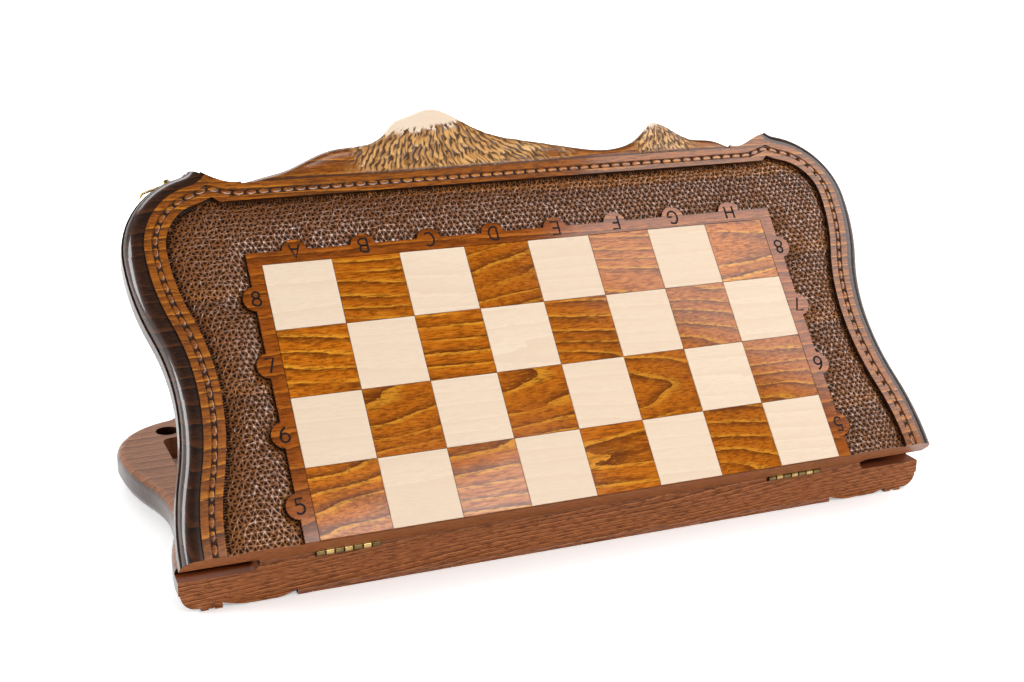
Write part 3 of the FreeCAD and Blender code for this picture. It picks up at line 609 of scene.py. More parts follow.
@dataclass(frozen=True)
class Tone:
    """The colours of one stained wood, from its pale wood to its dark rings."""

    pale: Colour
    middle: Colour
    dark: Colour
    ring_size: float = 6 * MM
    waviness: float = 2.0
    shadow_share: float = 0.6
    pore_share: float = 0.65
    fleck_share: float = 0.4

    def colour(self, job: Job, vector: Any) -> tuple[Socket, Socket]:
        """The wood's colour, and the height of its fibres.

        Args:
            job: The material's tree.
            vector: Where a point lies in the board.

        Returns:
            The colour and the height.
        """
        given = {"Vector": vector, "Ring Size": self.ring_size, "Waviness": self.waviness}
        rings, fibre, cloud = job.add("ShaderNodeGroup", given, node_tree=job.shop.effects.grain).outputs
        stops = ((0.0, self.pale), (0.1, self.pale), (0.24, self.middle), (0.6, self.middle),
                 (1.0, self.dark))
        colour = job.blend(job.step(cloud, 0.45, 0.75), job.ramp(rings, stops), self.middle)
        # Mottle of the wood: cloud noise darkens patches at random.
        shadow = job.calc("MULTIPLY", job.step(cloud, 0.48, 0.2), self.shadow_share)
        colour = job.blend(shadow, colour, self.dark)
        pores = job.calc("MULTIPLY", job.step(fibre, 0.5, 0.6), self.pore_share)
        colour = job.blend(pores, colour, self.dark)
        flecks = job.calc("MULTIPLY", job.step(fibre, 0.46, 0.34), self.fleck_share)
        return job.blend(flecks, colour, self.pale), fibre


@dataclass(frozen=True)
class Finish(ABC):
    """A finish that dresses pieces of either leaf."""

    name: str

    def material(self, shop: "Workshop", leaf: Leaf) -> bpy.types.Material:
        """The finish as a material in a leaf's own grain direction.

        Args:
            shop: Holds the shared effects and the leaves' frames.
            leaf: The leaf whose grain it follows.

        Returns:
            The material, made on the first call.
        """
        label = f"{leaf.value}_{self.name}"
        found = bpy.data.materials.get(label)
        if found:
            return found
        job = Job(shop, leaf, label)
        self.paint(job)
        return job.material

    @abstractmethod
    def paint(self, job: Job) -> None:
        """Joins the finish to the material's shader."""


@dataclass(frozen=True)
class PlainWood(Finish):
    """One wood all over, with painted shade in the seams below the chess face."""

    tone: Tone
    varnish: Varnish
    seam_level: float = 24.4 * MM
    seam_soft: float = 0.4 * MM
    seam: Colour = shade(52, 26, 8)

    def paint(self, job: Job) -> None:
        """Stains the wood and varnishes it.

        Args:
            job: The material's tree.
        """
        colour, height = self.tone.colour(job, job.local)
        # Painted shade: darker on the faces below the chess face, in the seams between the pieces.
        low = job.step(job.apart(job.local)[2], self.seam_level, self.seam_level - self.seam_soft)
        job.stain(job.blend(low, colour, self.seam))
        self.varnish.lay(job, height)


@dataclass(frozen=True)
class LeafWood(Finish):
    """A leaf's slab: amber frame, dark moulded sides and bare walnut inside and along the spine."""

    frame_tone: Tone
    side_tone: Tone
    inner_tone: Tone
    varnish: Varnish
    glazed: float = 0.6
    unglazed: float = 0.05
    tray_half: float = 223.5 * MM
    tray_near: float = 18 * MM
    tray_far: float = 209 * MM
    tray_depth: float = 17 * MM
    notch_width: float = 12 * MM
    notch_depth: float = 5 * MM
    notch_stain: Colour = shade(122, 60, 24)
    soft: float = 1 * MM
    level_fade: tuple[float, float] = (0.8, 0.95)
    mating_fade: tuple[float, float] = (-0.25, -0.85)
    frame_depth: tuple[float, float] = (1.2 * MM, 0.6 * MM)

    def paint(self, job: Job) -> None:
        """Stains each face of the slab by where it lies and which way it looks.

        Args:
            job: The material's tree.
        """
        up = job.apart(job.normal)[2]
        _, y, z = job.apart(job.local)
        low, high = (job.shop.frame.thickness - depth for depth in self.frame_depth)
        on_top = job.all_of(job.step(up, *self.level_fade), job.step(z, low, high))
        mating = job.step(up, *self.mating_fade)
        # Painted shade: the sunk floor of the finger notch at the spine is darkened to a deep reddish brown.
        in_notch = job.all_of(job.step(y, self.notch_width + self.soft, self.notch_width), mating,
                              job.step(z, 0, self.notch_depth))
        bare = job.calc("MAXIMUM", mating, self._in_tray(job))
        at_spine = job.spine_face()
        # The dark side stain is real on the moulded sides; on the frame's inner wall down to the carved
        # ground it is painted shade.
        side, height = self.side_tone.colour(job, job.local)
        colour = job.blend(bare, side, self.inner_tone.colour(job, job.local)[0])
        colour = job.blend(in_notch, colour, self.notch_stain)
        colour = job.blend(at_spine, colour, SPINE_WALNUT.colour(job, job.local)[0])
        job.put("Base Color", job.blend(on_top, colour, self.frame_tone.colour(job, job.local)[0]))
        self.varnish.lay(job, height)
        raw = job.calc("MAXIMUM", bare, at_spine)
        job.put("Coat Weight", job.blended_sum(raw, self.unglazed - self.glazed, self.glazed))

    def _in_tray(self, job: Job) -> Socket:
        """One inside the milled tray, nought outside it.

        Args:
            job: The material's tree.

        Returns:
            The mask.
        """
        x, y, z = job.apart(job.local)
        return job.all_of(job.step(job.calc("ABSOLUTE", x), self.tray_half + self.soft, self.tray_half),
                          job.step(y, self.tray_near - self.soft, self.tray_near),
                          job.step(y, self.tray_far + self.soft, self.tray_far),
                          job.step(z, self.tray_depth + self.soft, self.tray_depth))


@dataclass(frozen=True)
class SquareVeneer(Finish):
    """Veneer squares, each cut from another place of the log."""

    tone: Tone
    varnish: Varnish
    deep: Colour
    tilt: float = 0.5
    spread: float = 0.3
    coat_break: tuple[float, float] = (-1.2, 1.5)

    def paint(self, job: Job) -> None:
        """Gives each square its own figure and tone.

        Args:
            job: The material's tree.
        """
        given = {"Vector": job.local, "Tilt": self.tilt}
        cells = job.add("ShaderNodeGroup", given, node_tree=job.shop.effects.cells).outputs
        colour, height = self.tone.colour(job, cells["Vector"])
        job.stain(job.blend(job.calc("MULTIPLY", cells["Tone"], self.spread), colour, self.deep))
        self.varnish.lay(job, height)
        # Open fibres break the coat up.
        broken = job.blended_sum(height, *self.coat_break)
        job.put("Coat Weight", job.calc("MULTIPLY", broken, self.varnish.coat))


@dataclass(frozen=True)
class CarvedWood(Finish):
    """Carved wood: stain and painted shade lie dark in the cuts, and it is rubbed pale on the ridges."""

    ridge: Tone
    cut: Colour
    varnish: Varnish
    stain_fade: tuple[float, float] = (0.1, 0.7)
    coat_fade: tuple[float, float] = (0.32, 0.08)

    def paint(self, job: Job) -> None:
        """Darkens the wood with stain and painted shade down into the carving's cuts, and keeps the coat to
        the ridges.

        Args:
            job: The material's tree.
        """
        colour, height = self.ridge.colour(job, job.local)
        stain_and_shade = job.mark("stain_and_shade")
        job.stain(job.blend(job.step(stain_and_shade, *self.stain_fade), colour, self.cut))
        self.varnish.lay(job, height)
        job.put("Coat Weight", job.calc("MULTIPLY", job.step(stain_and_shade, *self.coat_fade), self.varnish.coat))


@dataclass(frozen=True)
class CrestWood(Finish):
    """The mountains: polished amber slopes, rubbed feather cuts and bare pale summits."""

    slope: Tone
    feather: Tone
    varnish: Varnish
    snow: Colour = shade(254, 233, 210)
    old_snow: Colour = shade(242, 215, 186)
    rubbed: Colour = shade(238, 190, 124)
    cut: Colour = shade(72, 39, 13)
    glazed: float = 0.25
    feather_draw: tuple[float, float, float] = (3, 0.4, 1)
    weather_draw: tuple[float, float, float] = (60, 200, 200)

    def paint(self, job: Job) -> None:
        """Follows what the carving is at each point.

        Args:
            job: The material's tree.
        """
        slope, height = self.slope.colour(job, job.local)
        feather, _ = self.feather.colour(job, job.stretched(job.local, self.feather_draw))
        snow = job.mark("snow")
        colour = job.blend(job.mark("feather"), slope, job.blend(job.mark("tone"), feather, self.rubbed))
        # The cut colour is stain and painted shade in the feather cuts, and painted shade along the skyline
        # and the foot.
        colour = job.blend(job.mark("stain_and_shade"), colour, self.cut)
        weather = job.noise(job.stretched(job.local, self.weather_draw), 1.0)
        job.put("Base Color", job.blend(snow, colour, job.blend(weather, self.snow, self.old_snow)))
        self.varnish.lay(job, height)
        job.put("Coat Weight", job.blended_sum(snow, -self.glazed, self.glazed))


@dataclass(frozen=True)
class Brass(Finish):
    """Lacquered brass with finger marks."""

    varnish: Varnish
    bright: Colour = shade(198, 168, 108)
    dull: Colour = shade(158, 130, 80)
    tarnish_patches: float = 150.0
    tarnish_fade: tuple[float, float] = (0.4, 0.7)

    def paint(self, job: Job) -> None:
        """Tarnishes the metal unevenly.

        Args:
            job: The material's tree.
        """
        tarnish = job.noise(job.local, self.tarnish_patches)
        job.put("Base Color", self.metal(job, tarnish))
        job.put("Metallic", 1.0)
        self.varnish.lay(job, tarnish)

    def metal(self, job: Job, tarnish: Any) -> Socket:
        """The metal's colour, duller where it is tarnished."""
        return job.blend(job.step(tarnish, *self.tarnish_fade), self.bright, self.dull)


@dataclass(frozen=True)
class HingeBrass(Brass):
    """Brass of a hinge, with painted shade in the gaps between its knuckles and on every other knuckle."""

    oil: Colour = shade(44, 34, 20)
    centre: float = 154 * MM
    length: float = 40 * MM
    knuckles: int = 7
    knuckle_radius: float = 2.2 * MM
    oil_reach: float = 0.9 * MM
    oil_film: float = 0.62
    barrel_fade: tuple[float, float] = (0.5 * MM, 0.1 * MM)

    def metal(self, job: Job, tarnish: Any) -> Socket:
        """The metal's colour, with painted shade on the barrel only.

        Args:
            job: The material's tree.
            tarnish: How tarnished the metal is.

        Returns:
            The colour.
        """
        pitch = self.length / self.knuckles
        outer = job.calc("ABSOLUTE", job.apart(job.local)[0])
        along = job.calc("SUBTRACT", outer, self.centre - self.length / 2)
        joint = job.step(job.calc("PINGPONG", along, pitch / 2), self.oil_reach, self.oil_reach / 3)
        wave = job.calc("PINGPONG", job.calc("ADD", along, pitch / 2), pitch)
        every_other = job.step(wave, 0.45 * pitch, 0.55 * pitch)
        gap = job.shop.frame.joint_gap
        around = job.away(job.stretched(job.local, (0, 1, 1)), (0, -gap, -gap))
        barrel = job.step(around, *(self.knuckle_radius + margin for margin in self.barrel_fade))
        # Painted shade: dark in the gaps between the knuckles, and a lighter film of it on every other
        # knuckle.
        in_shade = job.calc("MAXIMUM", joint, job.calc("MULTIPLY", every_other, self.oil_film))
        return job.blend(job.all_of(in_shade, barrel), super().metal(job, tarnish), self.oil)


@dataclass(frozen=True)
class BurntLine(Finish):
    """Lines that are burnt into the wood."""

    varnish: Varnish
    char: Colour = shade(16, 8, 5)
    ember: Colour = shade(34, 17, 9)
    char_patches: float = 900.0

    def paint(self, job: Job) -> None:
        """Chars the wood unevenly.

        Args:
            job: The material's tree.
        """
        heat = job.noise(job.local, self.char_patches)
        job.put("Base Color", job.blend(heat, self.char, self.ember))
        self.varnish.lay(job, heat)


# A level that the painted seam shade never reaches, for the woods inside the trays.
NO_SEAM = -1.0
AMBER = Tone(shade(240, 161, 40), shade(206, 112, 14), shade(103, 47, 5), 8.5 * MM, 2.4)
AMBER_FRAME = Tone(shade(202, 124, 32), shade(158, 86, 17), shade(86, 42, 9), 7 * MM, 3.0)
AMBER_BORDER = Tone(shade(192, 108, 28), shade(158, 80, 16), shade(100, 48, 8), 8 * MM, 3.0)
DARK_STAIN_AND_SHADE = Tone(shade(84, 46, 22), shade(54, 29, 15), shade(28, 15, 9), 8 * MM, 3.0)
WALNUT = Tone(shade(180, 128, 96), shade(160, 110, 82), shade(118, 78, 54), 11 * MM, 3.4)
SPINE_WALNUT = Tone(shade(208, 134, 80), shade(164, 96, 52), shade(92, 48, 22), 2.6 * MM, 1.4)
PUNCHED = Tone(shade(166, 102, 46), shade(140, 83, 38), shade(120, 70, 33), 60 * MM, 5.0)
FEATHERED = Tone(shade(242, 183, 104), shade(220, 154, 74), shade(166, 104, 40), 5 * MM, 3.0)
MAPLE = Tone(shade(249, 227, 202), shade(246, 223, 197), shade(241, 215, 187), 9 * MM, 1.6)


class Workshop:
    """What all sub-assemblies share: the leaves' frames, the outline, the effects and the finishes."""

    def __init__(self) -> None:
        """Builds the shared effects and lays out the finishes."""
        self.frame = LeafFrame()
        self.outline = Outline()
        self.effects = SharedEffects()
        satin = Varnish(0.4, coat=0.9, shine=0.0)
        dull = Varnish(0.5, 0.12, shine=0.3)
        polish = Varnish(0.26, 0.2, bump=0.02 * MM)
        carved = Varnish(0.35, 0.1, coat=1.0, coat_rough=0.07, coat_ior=1.9, bump=0.05 * MM, shine=0.1)
        self.slab = LeafWood("leaf_wood", AMBER_FRAME, DARK_STAIN_AND_SHADE, WALNUT,
                             Varnish(0.35, 0.1, coat_rough=0.08, bump=0.05 * MM, shine=0.15))
        self.border = PlainWood("border_wood", AMBER_BORDER, satin)
        self.dark_square = SquareVeneer("dark_veneer", AMBER, satin, shade(120, 58, 10))
        self.light_square = SquareVeneer("light_veneer", MAPLE, Varnish(0.4, shine=0.1),
                                         shade(240, 212, 184), 0.1, 0.3)
        # The cut colours of the ground and the chain are stain and painted shade.
        self.ground = CarvedWood("punched_ground", PUNCHED, shade(26, 13, 6), carved)
        self.chain = CarvedWood("chain_cuts", AMBER_FRAME, shade(52, 27, 10),
                                Varnish(0.4, coat=1.0, coat_rough=0.1, shine=0.2))
        self.crest = CrestWood("crest_wood", AMBER_FRAME, FEATHERED,
                               Varnish(0.35, 0.1, bump=0.05 * MM, shine=0.3))
        self.burnt = BurntLine("burnt_line", Varnish(0.65, 0.15, bump=0.05 * MM, shine=0.2))
        self.floor = PlainWood("tray_floor", WALNUT, dull, NO_SEAM)
        self.pale_point = PlainWood("pale_point", MAPLE, dull, NO_SEAM)
        self.dark_point = PlainWood("dark_point", DARK_STAIN_AND_SHADE, dull, NO_SEAM)
        self.brass = Brass("brass", polish)
        self.hinge_brass = HingeBrass("hinge_brass", polish)

    def piece(self, name: str, leaf: Leaf, points: np.ndarray, faces: list[Sequence[int]], finish: Finish,
              slot: str, marks: dict[str, np.ndarray] | None = None,
              round_faces: int = 0) -> bpy.types.Object:
        """A mesh drawn in a leaf's frame, put in its place and dressed.

        Args:
            name: The piece's name, without its leaf.
            leaf: The leaf that carries it.
            points: The corners, in the leaf's frame.
            faces: The corners of each face.
            finish: What it is dressed in.
            slot: The record's material slot; not used.
            marks: Values at the corners that the finish reads.
            round_faces: How many of the first faces are shaded smooth.

        Returns:
            The object, which rides on its leaf.
        """
        mesh = bpy.data.meshes.new(f"{leaf.value}_{name}")
        mesh.from_pydata(points.tolist(), [], faces)
        for label, values in (marks or {}).items():
            mark = mesh.attributes.new(label, "FLOAT", "POINT")
            mark.data.foreach_set("value", values.astype(np.float32))
        mesh.polygons.foreach_set("use_smooth", np.arange(len(mesh.polygons)) < round_faces)
        mesh.transform(self.frame.matrix(leaf))
        mesh.update()
        made = bpy.data.objects.new(f"{leaf.value}_{name}", mesh)
        bpy.context.scene.collection.objects.link(made)
        mesh.materials.append(finish.material(self, leaf))
        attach(made, leaf.value)
        LOG.info("%s: %d faces", made.name, len(faces))
        return made

    def dress(self, node: str, finish: Finish, leaf: Leaf) -> None:
        """Gives a finish to a node of the frame.

        Args:
            node: The node's name.
            finish: What it is dressed in.
            leaf: The leaf whose frame the finish follows.
        """
        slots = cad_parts[node].data.materials
        slots.clear()
        slots.append(finish.material(self, leaf))
        LOG.info("%s: %s", node, finish.name)


def closed_below(points: np.ndarray, faces: list[Sequence[int]], loop: Sequence[int],
                 level: float) -> tuple[np.ndarray, list[Sequence[int]]]:
    """Closes a carved surface with a wall down from its rim and a flat bottom.

    Args:
        points: The surface's corners.
        faces: The surface's faces, anticlockwise from above.
        loop: The rim's corners in order, anticlockwise from above.
        level: The height of the bottom.

    Returns:
        The corners and faces of the closed piece.
    """
    count, size = len(points), len(loop)
    foot = points[list(loop)].copy()
    foot[:, 2] = level
    walls = [(loop[n - 1], count + (n - 1) % size, count + n, loop[n]) for n in range(size)]
    return np.vstack((points, foot)), list(faces) + walls + [tuple(count + n for n in reversed(range(size)))]


def rim_of(faces: Sequence[Sequence[int]]) -> list[int]:
    """The corners round the open rim of a surface.

    Args:
        faces: The surface's faces, anticlockwise from above.

    Returns:
        The corners in order, anticlockwise from above.
    """
    edges = {(face[n - 1], face[n]) for face in faces for n in range(len(face))}
    ahead = {first: last for first, last in edges if (last, first) not in edges}
    loop = [min(ahead)]
    while ahead[loop[-1]] != loop[0]:
        loop.append(ahead[loop[-1]])
        if len(loop) > len(ahead):
            raise RuntimeError("the rim is not one loop")
    return loop


def grid_faces(rows: int, columns: int) -> list[Sequence[int]]:
    """The faces of a sheet whose corners are numbered row by row."""
    return [(n * columns + m, (n + 1) * columns + m, (n + 1) * columns + m + 1, n * columns + m + 1)
            for n in range(rows - 1) for m in range(columns - 1)]


# Sub-assemblies


@dataclass
class ChessBoard:
    """The lobed border of half a chess board, and its burnt rank and file marks."""

    shop: Workshop
    square: float = SQUARE
    border_side: float = 8.8 * MM
    border_far: float = 8.4 * MM
    lobe_radius: float = 8.1 * MM
    lobe_inset: float = 1.1 * MM
    lobe_points: int = 100
    edge_step: float = 0.5 * MM
    edge_slack: float = 0.05 * MM
    mark_height: float = 9.2 * MM
    stroke: float = 1.5 * MM
    crown_share: float = 0.9
    proud: float = 0.05 * MM
    sunk: float = 0.3 * MM
    files: int = 8
    ranks: int = 4

    def half(self) -> float:
        """How far the border reaches to either side."""
        return self.files / 2 * self.square + self.border_side

    def far(self) -> float:
        """How far the border reaches from the spine."""
        return self.ranks * self.square + self.border_far

    def lobes(self) -> list[tuple[float, float]]:
        """The middles of the lobes round the border.

        Returns:
            First those of the files, then those of the ranks in pairs.
        """
        far, aside = self.far() - self.lobe_inset, self.half() - self.lobe_inset
        spots = [((n + 0.5 - self.files / 2) * self.square, far) for n in range(self.files)]
        for rank in range(self.ranks):
            spots += [(way * aside, (rank + 0.5) * self.square) for way in (-1, 1)]
        return spots

    def edge(self) -> np.ndarray:
        """Points round the border's outside, lobes included.

        Returns:
            The points, run by run.
        """
        half, far = self.half(), self.far()
        runs = [spaced(np.array([(half, 0), (half, far), (-half, far), (-half, 0)]), self.edge_step)]
        angle = np.linspace(0, math.tau, self.lobe_points, endpoint=False)
        ring = self.lobe_radius * np.column_stack((np.cos(angle), np.sin(angle)))
        points = np.vstack(runs + [ring + spot for spot in self.lobes()])
        return points[~self.covers(points, -self.edge_slack)]

    def covers(self, points: np.ndarray, grow: float = 0.0) -> np.ndarray:
        """Which points lie on the border or the squares.

        Args:
            points: The points, one row each.
            grow: How far the border is grown first.

        Returns:
            True or false for each point.
        """
        found = (np.abs(points[:, 0]) < self.half() + grow) & (points[:, 1] < self.far() + grow)
        for x, y in self.lobes():
            found |= np.hypot(points[:, 0] - x, points[:, 1] - y) < self.lobe_radius + grow
        return found

    def build(self, leaf: Leaf) -> None:
        """Burns the marks and dresses the border and the squares.

        Args:
            leaf: The leaf that carries the board.
        """
        points: list[np.ndarray] = []
        faces: list[Sequence[int]] = []
        for number, (x, y) in enumerate(self.lobes()):
            if number < self.files:
                column = number if leaf is Leaf.UPPER else self.files - 1 - number
                text, way = "ABCDEFGH"[column], -1
            else:
                rank = (number - self.files) // 2
                text = str(self.ranks + 1 + rank if leaf is Leaf.UPPER else self.ranks - rank)
                way = 1 if x < 0 else -1
            for stroke in MARK_SHARES[text]:
                self._burn(stroke.line() * self.mark_height * way + np.array([x, y]), points, faces)
        self.shop.piece("board_marks", leaf, np.vstack(points), faces, self.shop.burnt, "dark_inlay")
        self.shop.dress(f"{leaf.value}_board_border", self.shop.border, leaf)
        self.shop.dress(f"{leaf.value}_light_squares", self.shop.light_square, leaf)
        self.shop.dress(f"{leaf.value}_dark_squares", self.shop.dark_square, leaf)

    def _burn(self, line: np.ndarray, points: list[np.ndarray], faces: list[Sequence[int]]) -> None:
        """Adds one burnt stroke, a shallow ridge whose foot is sunk in the wood.

        Args:
            line: The stroke's middle line.
            points: The corners so far, which grow.
            faces: The faces so far, which grow.
        """
        ways = tangents(line)
        out = np.column_stack((-ways[:, 1], ways[:, 0])) * self.stroke / 2
        top, low = self.shop.frame.thickness + self.proud, self.shop.frame.thickness - self.sunk
        start, count = sum(len(block) for block in points), len(line)
        for shift, height in ((1, low), (self.crown_share, top), (-self.crown_share, top), (-1, low)):
            points.append(np.column_stack((line + out * shift, np.full(count, height))))
        for n in range(count - 1):
            for row in range(4):
                here, there = start + row * count + n, start + (row + 1) % 4 * count + n
                faces.append((here, here + 1, there + 1, there))
        faces.append(tuple(start + row * count for row in range(4)))
        faces.append(tuple(start + row * count + count - 1 for row in reversed(range(4))))


@dataclass(frozen=True)
class Straight:
    """A stroke of straight runs, in shares of the mark's height."""

    shares: tuple[tuple[float, float], ...]

    def line(self) -> np.ndarray:
        """The stroke's points."""
        return np.array(self.shares)


@dataclass(frozen=True)
class Bow:
    """A curved stroke with a straight run at either end, in shares of the mark's height."""

    middle_share: tuple[float, float]
    reach_share: tuple[float, float]
    sweep: tuple[float, float]
    before_shares: tuple[tuple[float, float], ...] = ()
    after_shares: tuple[tuple[float, float], ...] = ()
    bow_points: int = 19

    def line(self) -> np.ndarray:
        """The stroke's points.

        Returns:
            The points in order, one row each.
        """
        angle = np.radians(np.linspace(self.sweep[0], self.sweep[1], self.bow_points))
        ring = np.column_stack((np.cos(angle), np.sin(angle)))
        bow = np.array(self.middle_share) + ring * self.reach_share
        runs = (np.array(self.before_shares), bow, np.array(self.after_shares))
        return np.vstack([run for run in runs if len(run)])


MARK_SHARES: dict[str, tuple[Straight | Bow, ...]] = {
    "A": (Straight(((-0.36, -0.5), (0, 0.5), (0.36, -0.5))), Straight(((-0.24, -0.16), (0.24, -0.16)))),
    "B": (Straight(((-0.3, -0.5), (-0.3, 0.5))),
          Bow((0.02, 0.26), (0.24, 0.24), (90, -90), ((-0.3, 0.5),), ((-0.3, 0.02),)),
          Bow((0.04, -0.24), (0.26, 0.26), (90, -90), ((-0.3, 0.02),), ((-0.3, -0.5),))),
    "C": (Bow((0.04, 0), (0.38, 0.5), (50, 310)),),
    "D": (Straight(((-0.3, -0.5), (-0.3, 0.5))),
          Bow((-0.06, 0), (0.38, 0.5), (90, -90), ((-0.3, 0.5),), ((-0.3, -0.5),))),
    "E": (Straight(((0.28, 0.5), (-0.28, 0.5), (-0.28, -0.5), (0.28, -0.5))),
          Straight(((-0.28, 0), (0.2, 0)))),
    "F": (Straight(((0.28, 0.5), (-0.28, 0.5), (-0.28, -0.5))), Straight(((-0.28, 0.02), (0.2, 0.02)))),
    "G": (Bow((0.04, 0), (0.38, 0.5), (50, 355), (), ((0.08, -0.04),)),),
    "H": (Straight(((-0.32, -0.5), (-0.32, 0.5))), Straight(((0.32, -0.5), (0.32, 0.5))),
          Straight(((-0.32, 0), (0.32, 0)))),
    "1": (Straight(((-0.2, 0.3), (0.04, 0.5), (0.04, -0.5))),),
    "2": (Bow((0, 0.22), (0.28, 0.28), (165, -35), (), ((-0.3, -0.5), (0.3, -0.5))),),
    "3": (Bow((0, 0.24), (0.26, 0.26), (150, -90)), Bow((0, -0.24), (0.29, 0.26), (90, -150))),
    "4": (Straight(((0.14, -0.5), (0.14, 0.5), (-0.32, -0.18), (0.34, -0.18))),),
    "5": (Bow((0, -0.18), (0.3, 0.32), (130, -145), ((0.26, 0.5), (-0.2, 0.5))),),
    "6": (Bow((0, -0.2), (0.29, 0.3), (0, 360)), Bow((0.26, -0.2), (0.55, 0.72), (105, 180))),
    "7": (Straight(((-0.28, 0.5), (0.28, 0.5), (-0.06, -0.5))),),
    "8": (Bow((0, 0.26), (0.23, 0.24), (0, 360)), Bow((0, -0.24), (0.29, 0.26), (0, 360))),
}
PUNCH_SEEDS = {Leaf.UPPER: 7, Leaf.LOWER: 11}
# The faces of a cut whose corners go by depth, then along it, then across it.
WEDGE_FACES = ((0, 1, 3, 2), (4, 6, 7, 5), (0, 4, 5, 1), (2, 3, 7, 6), (0, 2, 6, 4), (1, 5, 7, 3))


@dataclass
class CarvedGround:
    """The sunk ground round the board: a soft swell, punched all over with three-sided pits."""

    shop: Workshop
    board: ChessBoard
    punch: float = 3.9 * MM
    jitter: float = 1.0 * MM
    edge_depth: float = 3.3 * MM
    top_depth: float = 0.2 * MM
    swell: float = 15 * MM
    ridge_chance: tuple[float, float] = (-0.25 * MM, 0.12 * MM)
    pit: float = 1.35 * MM
    pit_shares: tuple[float, float] = (0.6, 1.15)
    pit_limit: float = 3.45 * MM
    bottom: float = 3.5 * MM
    corner_shares: tuple[float, float] = (0.5, 0.72)
    side_shares: tuple[float, float] = (0.84, 0.98)
    lip_wear: float = 0.12 * MM
    wander: float = 0.35 * MM
    overlap: float = 2.3 * MM
    ridge_dark: tuple[float, float] = (0.0, 0.2)
    lip_dark: tuple[float, float] = (0.15, 0.4)
    pit_dark: tuple[float, float] = (0.75, 1.0)
    nick_step: float = 2.3 * MM
    nick_width: float = 0.8 * MM
    nick_reach: float = 0.35 * MM
    nick_depth: float = 2.6 * MM
    nick_proud: float = 0.03 * MM
    nick_tail: float = 0.5 * MM
    tail_share: float = 0.3
    foot_share: float = 0.6
    furrow_step: float = 1.7 * MM
    furrow_reach: float = 2.9 * MM
    furrow_depth: float = 0.8 * MM
    furrow_proud: float = 0.15 * MM

    def build(self, leaf: Leaf) -> None:
        """Punches the ground and lays painted shade of nicks along its edges.

        Args:
            leaf: The leaf that carries the ground.
        """
        edge = self.shop.outline.ground_edge()
        chance = np.random.default_rng(PUNCH_SEEDS[leaf])
        points, triangles, gap = self._net(edge)
        free = points[:, 1] > 0
        points[free] += chance.uniform(-self.jitter, self.jitter, (np.count_nonzero(free), 2))
        height = self._height(gap) + chance.uniform(*self.ridge_chance, len(points))
        ridges = np.column_stack((points, height))
        crowns = ridges[triangles]
        pits = crowns.mean(axis=1)
        pits[:, :2] += chance.uniform(-self.wander, self.wander, (len(pits), 2))
        pits[:, 2] -= self.pit * chance.uniform(*self.pit_shares, len(pits))
        pits[:, 2] = np.maximum(pits[:, 2], self.shop.frame.thickness - self.pit_limit)
        lips = self._lips(crowns, chance)
        # Stain and painted shade: darker from the ridges down to the bottoms of the pits.
        stain_and_shade = [chance.uniform(*dark, len(rows)) for dark, rows in
                  ((self.ridge_dark, ridges), (self.lip_dark, lips), (self.pit_dark, pits))]
        facets = self._facets(triangles, len(ridges))
        rim = rim_of(triangles.tolist())
        points, faces = closed_below(np.vstack((ridges, lips, pits)), facets, rim,
                                     self.shop.frame.thickness - self.bottom)
        marks = {"stain_and_shade": np.concatenate(stain_and_shade + [np.ones(len(rim))])}
        made = self.shop.piece("punched_ground", leaf, points, faces, self.shop.ground,
                               "walnut_stained_wood", marks, len(facets))
        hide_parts(f"{leaf.value}_carved_ground")
        self._nicks(leaf, edge)

    def _net(self, edge: np.ndarray) -> tuple[np.ndarray, np.ndarray, np.ndarray]:
        """The net of ridges over the ground.

        Args:
            edge: The frame's inner edge.

        Returns:
            The corners, the triangles between them and how far inside the ground each corner lies.
        """
        points, triangles = self._lattice(edge)
        inside, gap = self._inside(points, edge)
        keep = inside | (gap < self.overlap)
        triangles = self._one_rim(triangles[keep[triangles].all(axis=1)])
        used, order = np.unique(triangles, return_inverse=True)
        return points[used], order.reshape(triangles.shape), np.where(inside, gap, 0.0)[used]

    @staticmethod
    def _facets(triangles: np.ndarray, count: int) -> list[Sequence[int]]:
        """The faces from the ridges over the rounded mouths down to the bottoms of the pits.

        Args:
            triangles: The ridge corners round each pit.
            count: How many ridge corners there are; the mouths and then the bottoms come after them.

        Returns:
            Fifteen faces for each pit.
        """
        faces: list[Sequence[int]] = []
        for number, face in enumerate(triangles.tolist()):
            lip, bottom = count + 6 * number, count + 6 * len(triangles) + number
            for first, last in ((0, 1), (1, 2), (2, 0)):
                start, waist, end = lip + 2 * first, lip + 2 * first + 1, lip + 2 * last
                faces += [(face[first], face[last], waist), (face[first], waist, start),
                          (face[last], end, waist), (start, waist, bottom), (waist, end, bottom)]
        return faces

    def _lips(self, crown: np.ndarray, chance: np.random.Generator) -> np.ndarray:
        """The rounded mouth of each pit, six points to a pit.

        Args:
            crown: The three ridge corners round each pit.
            chance: Where the unevenness comes from.

        Returns:
            The points, pit by pit, towards a corner and towards a side by turns.
        """
        middle = crown.mean(axis=1, keepdims=True)
        sides = (crown + np.roll(crown, -1, axis=1)) / 2
        to_corner = chance.uniform(*self.corner_shares, (len(crown), 3, 1))
        to_side = chance.uniform(*self.side_shares, (len(crown), 3, 1))
        mouth = np.stack((middle + (crown - middle) * to_corner,
                          middle + (sides - middle) * to_side), axis=2)
        mouth[..., 2] -= chance.uniform(0, self.lip_wear, mouth.shape[:3])
        return mouth.reshape(-1, 3)

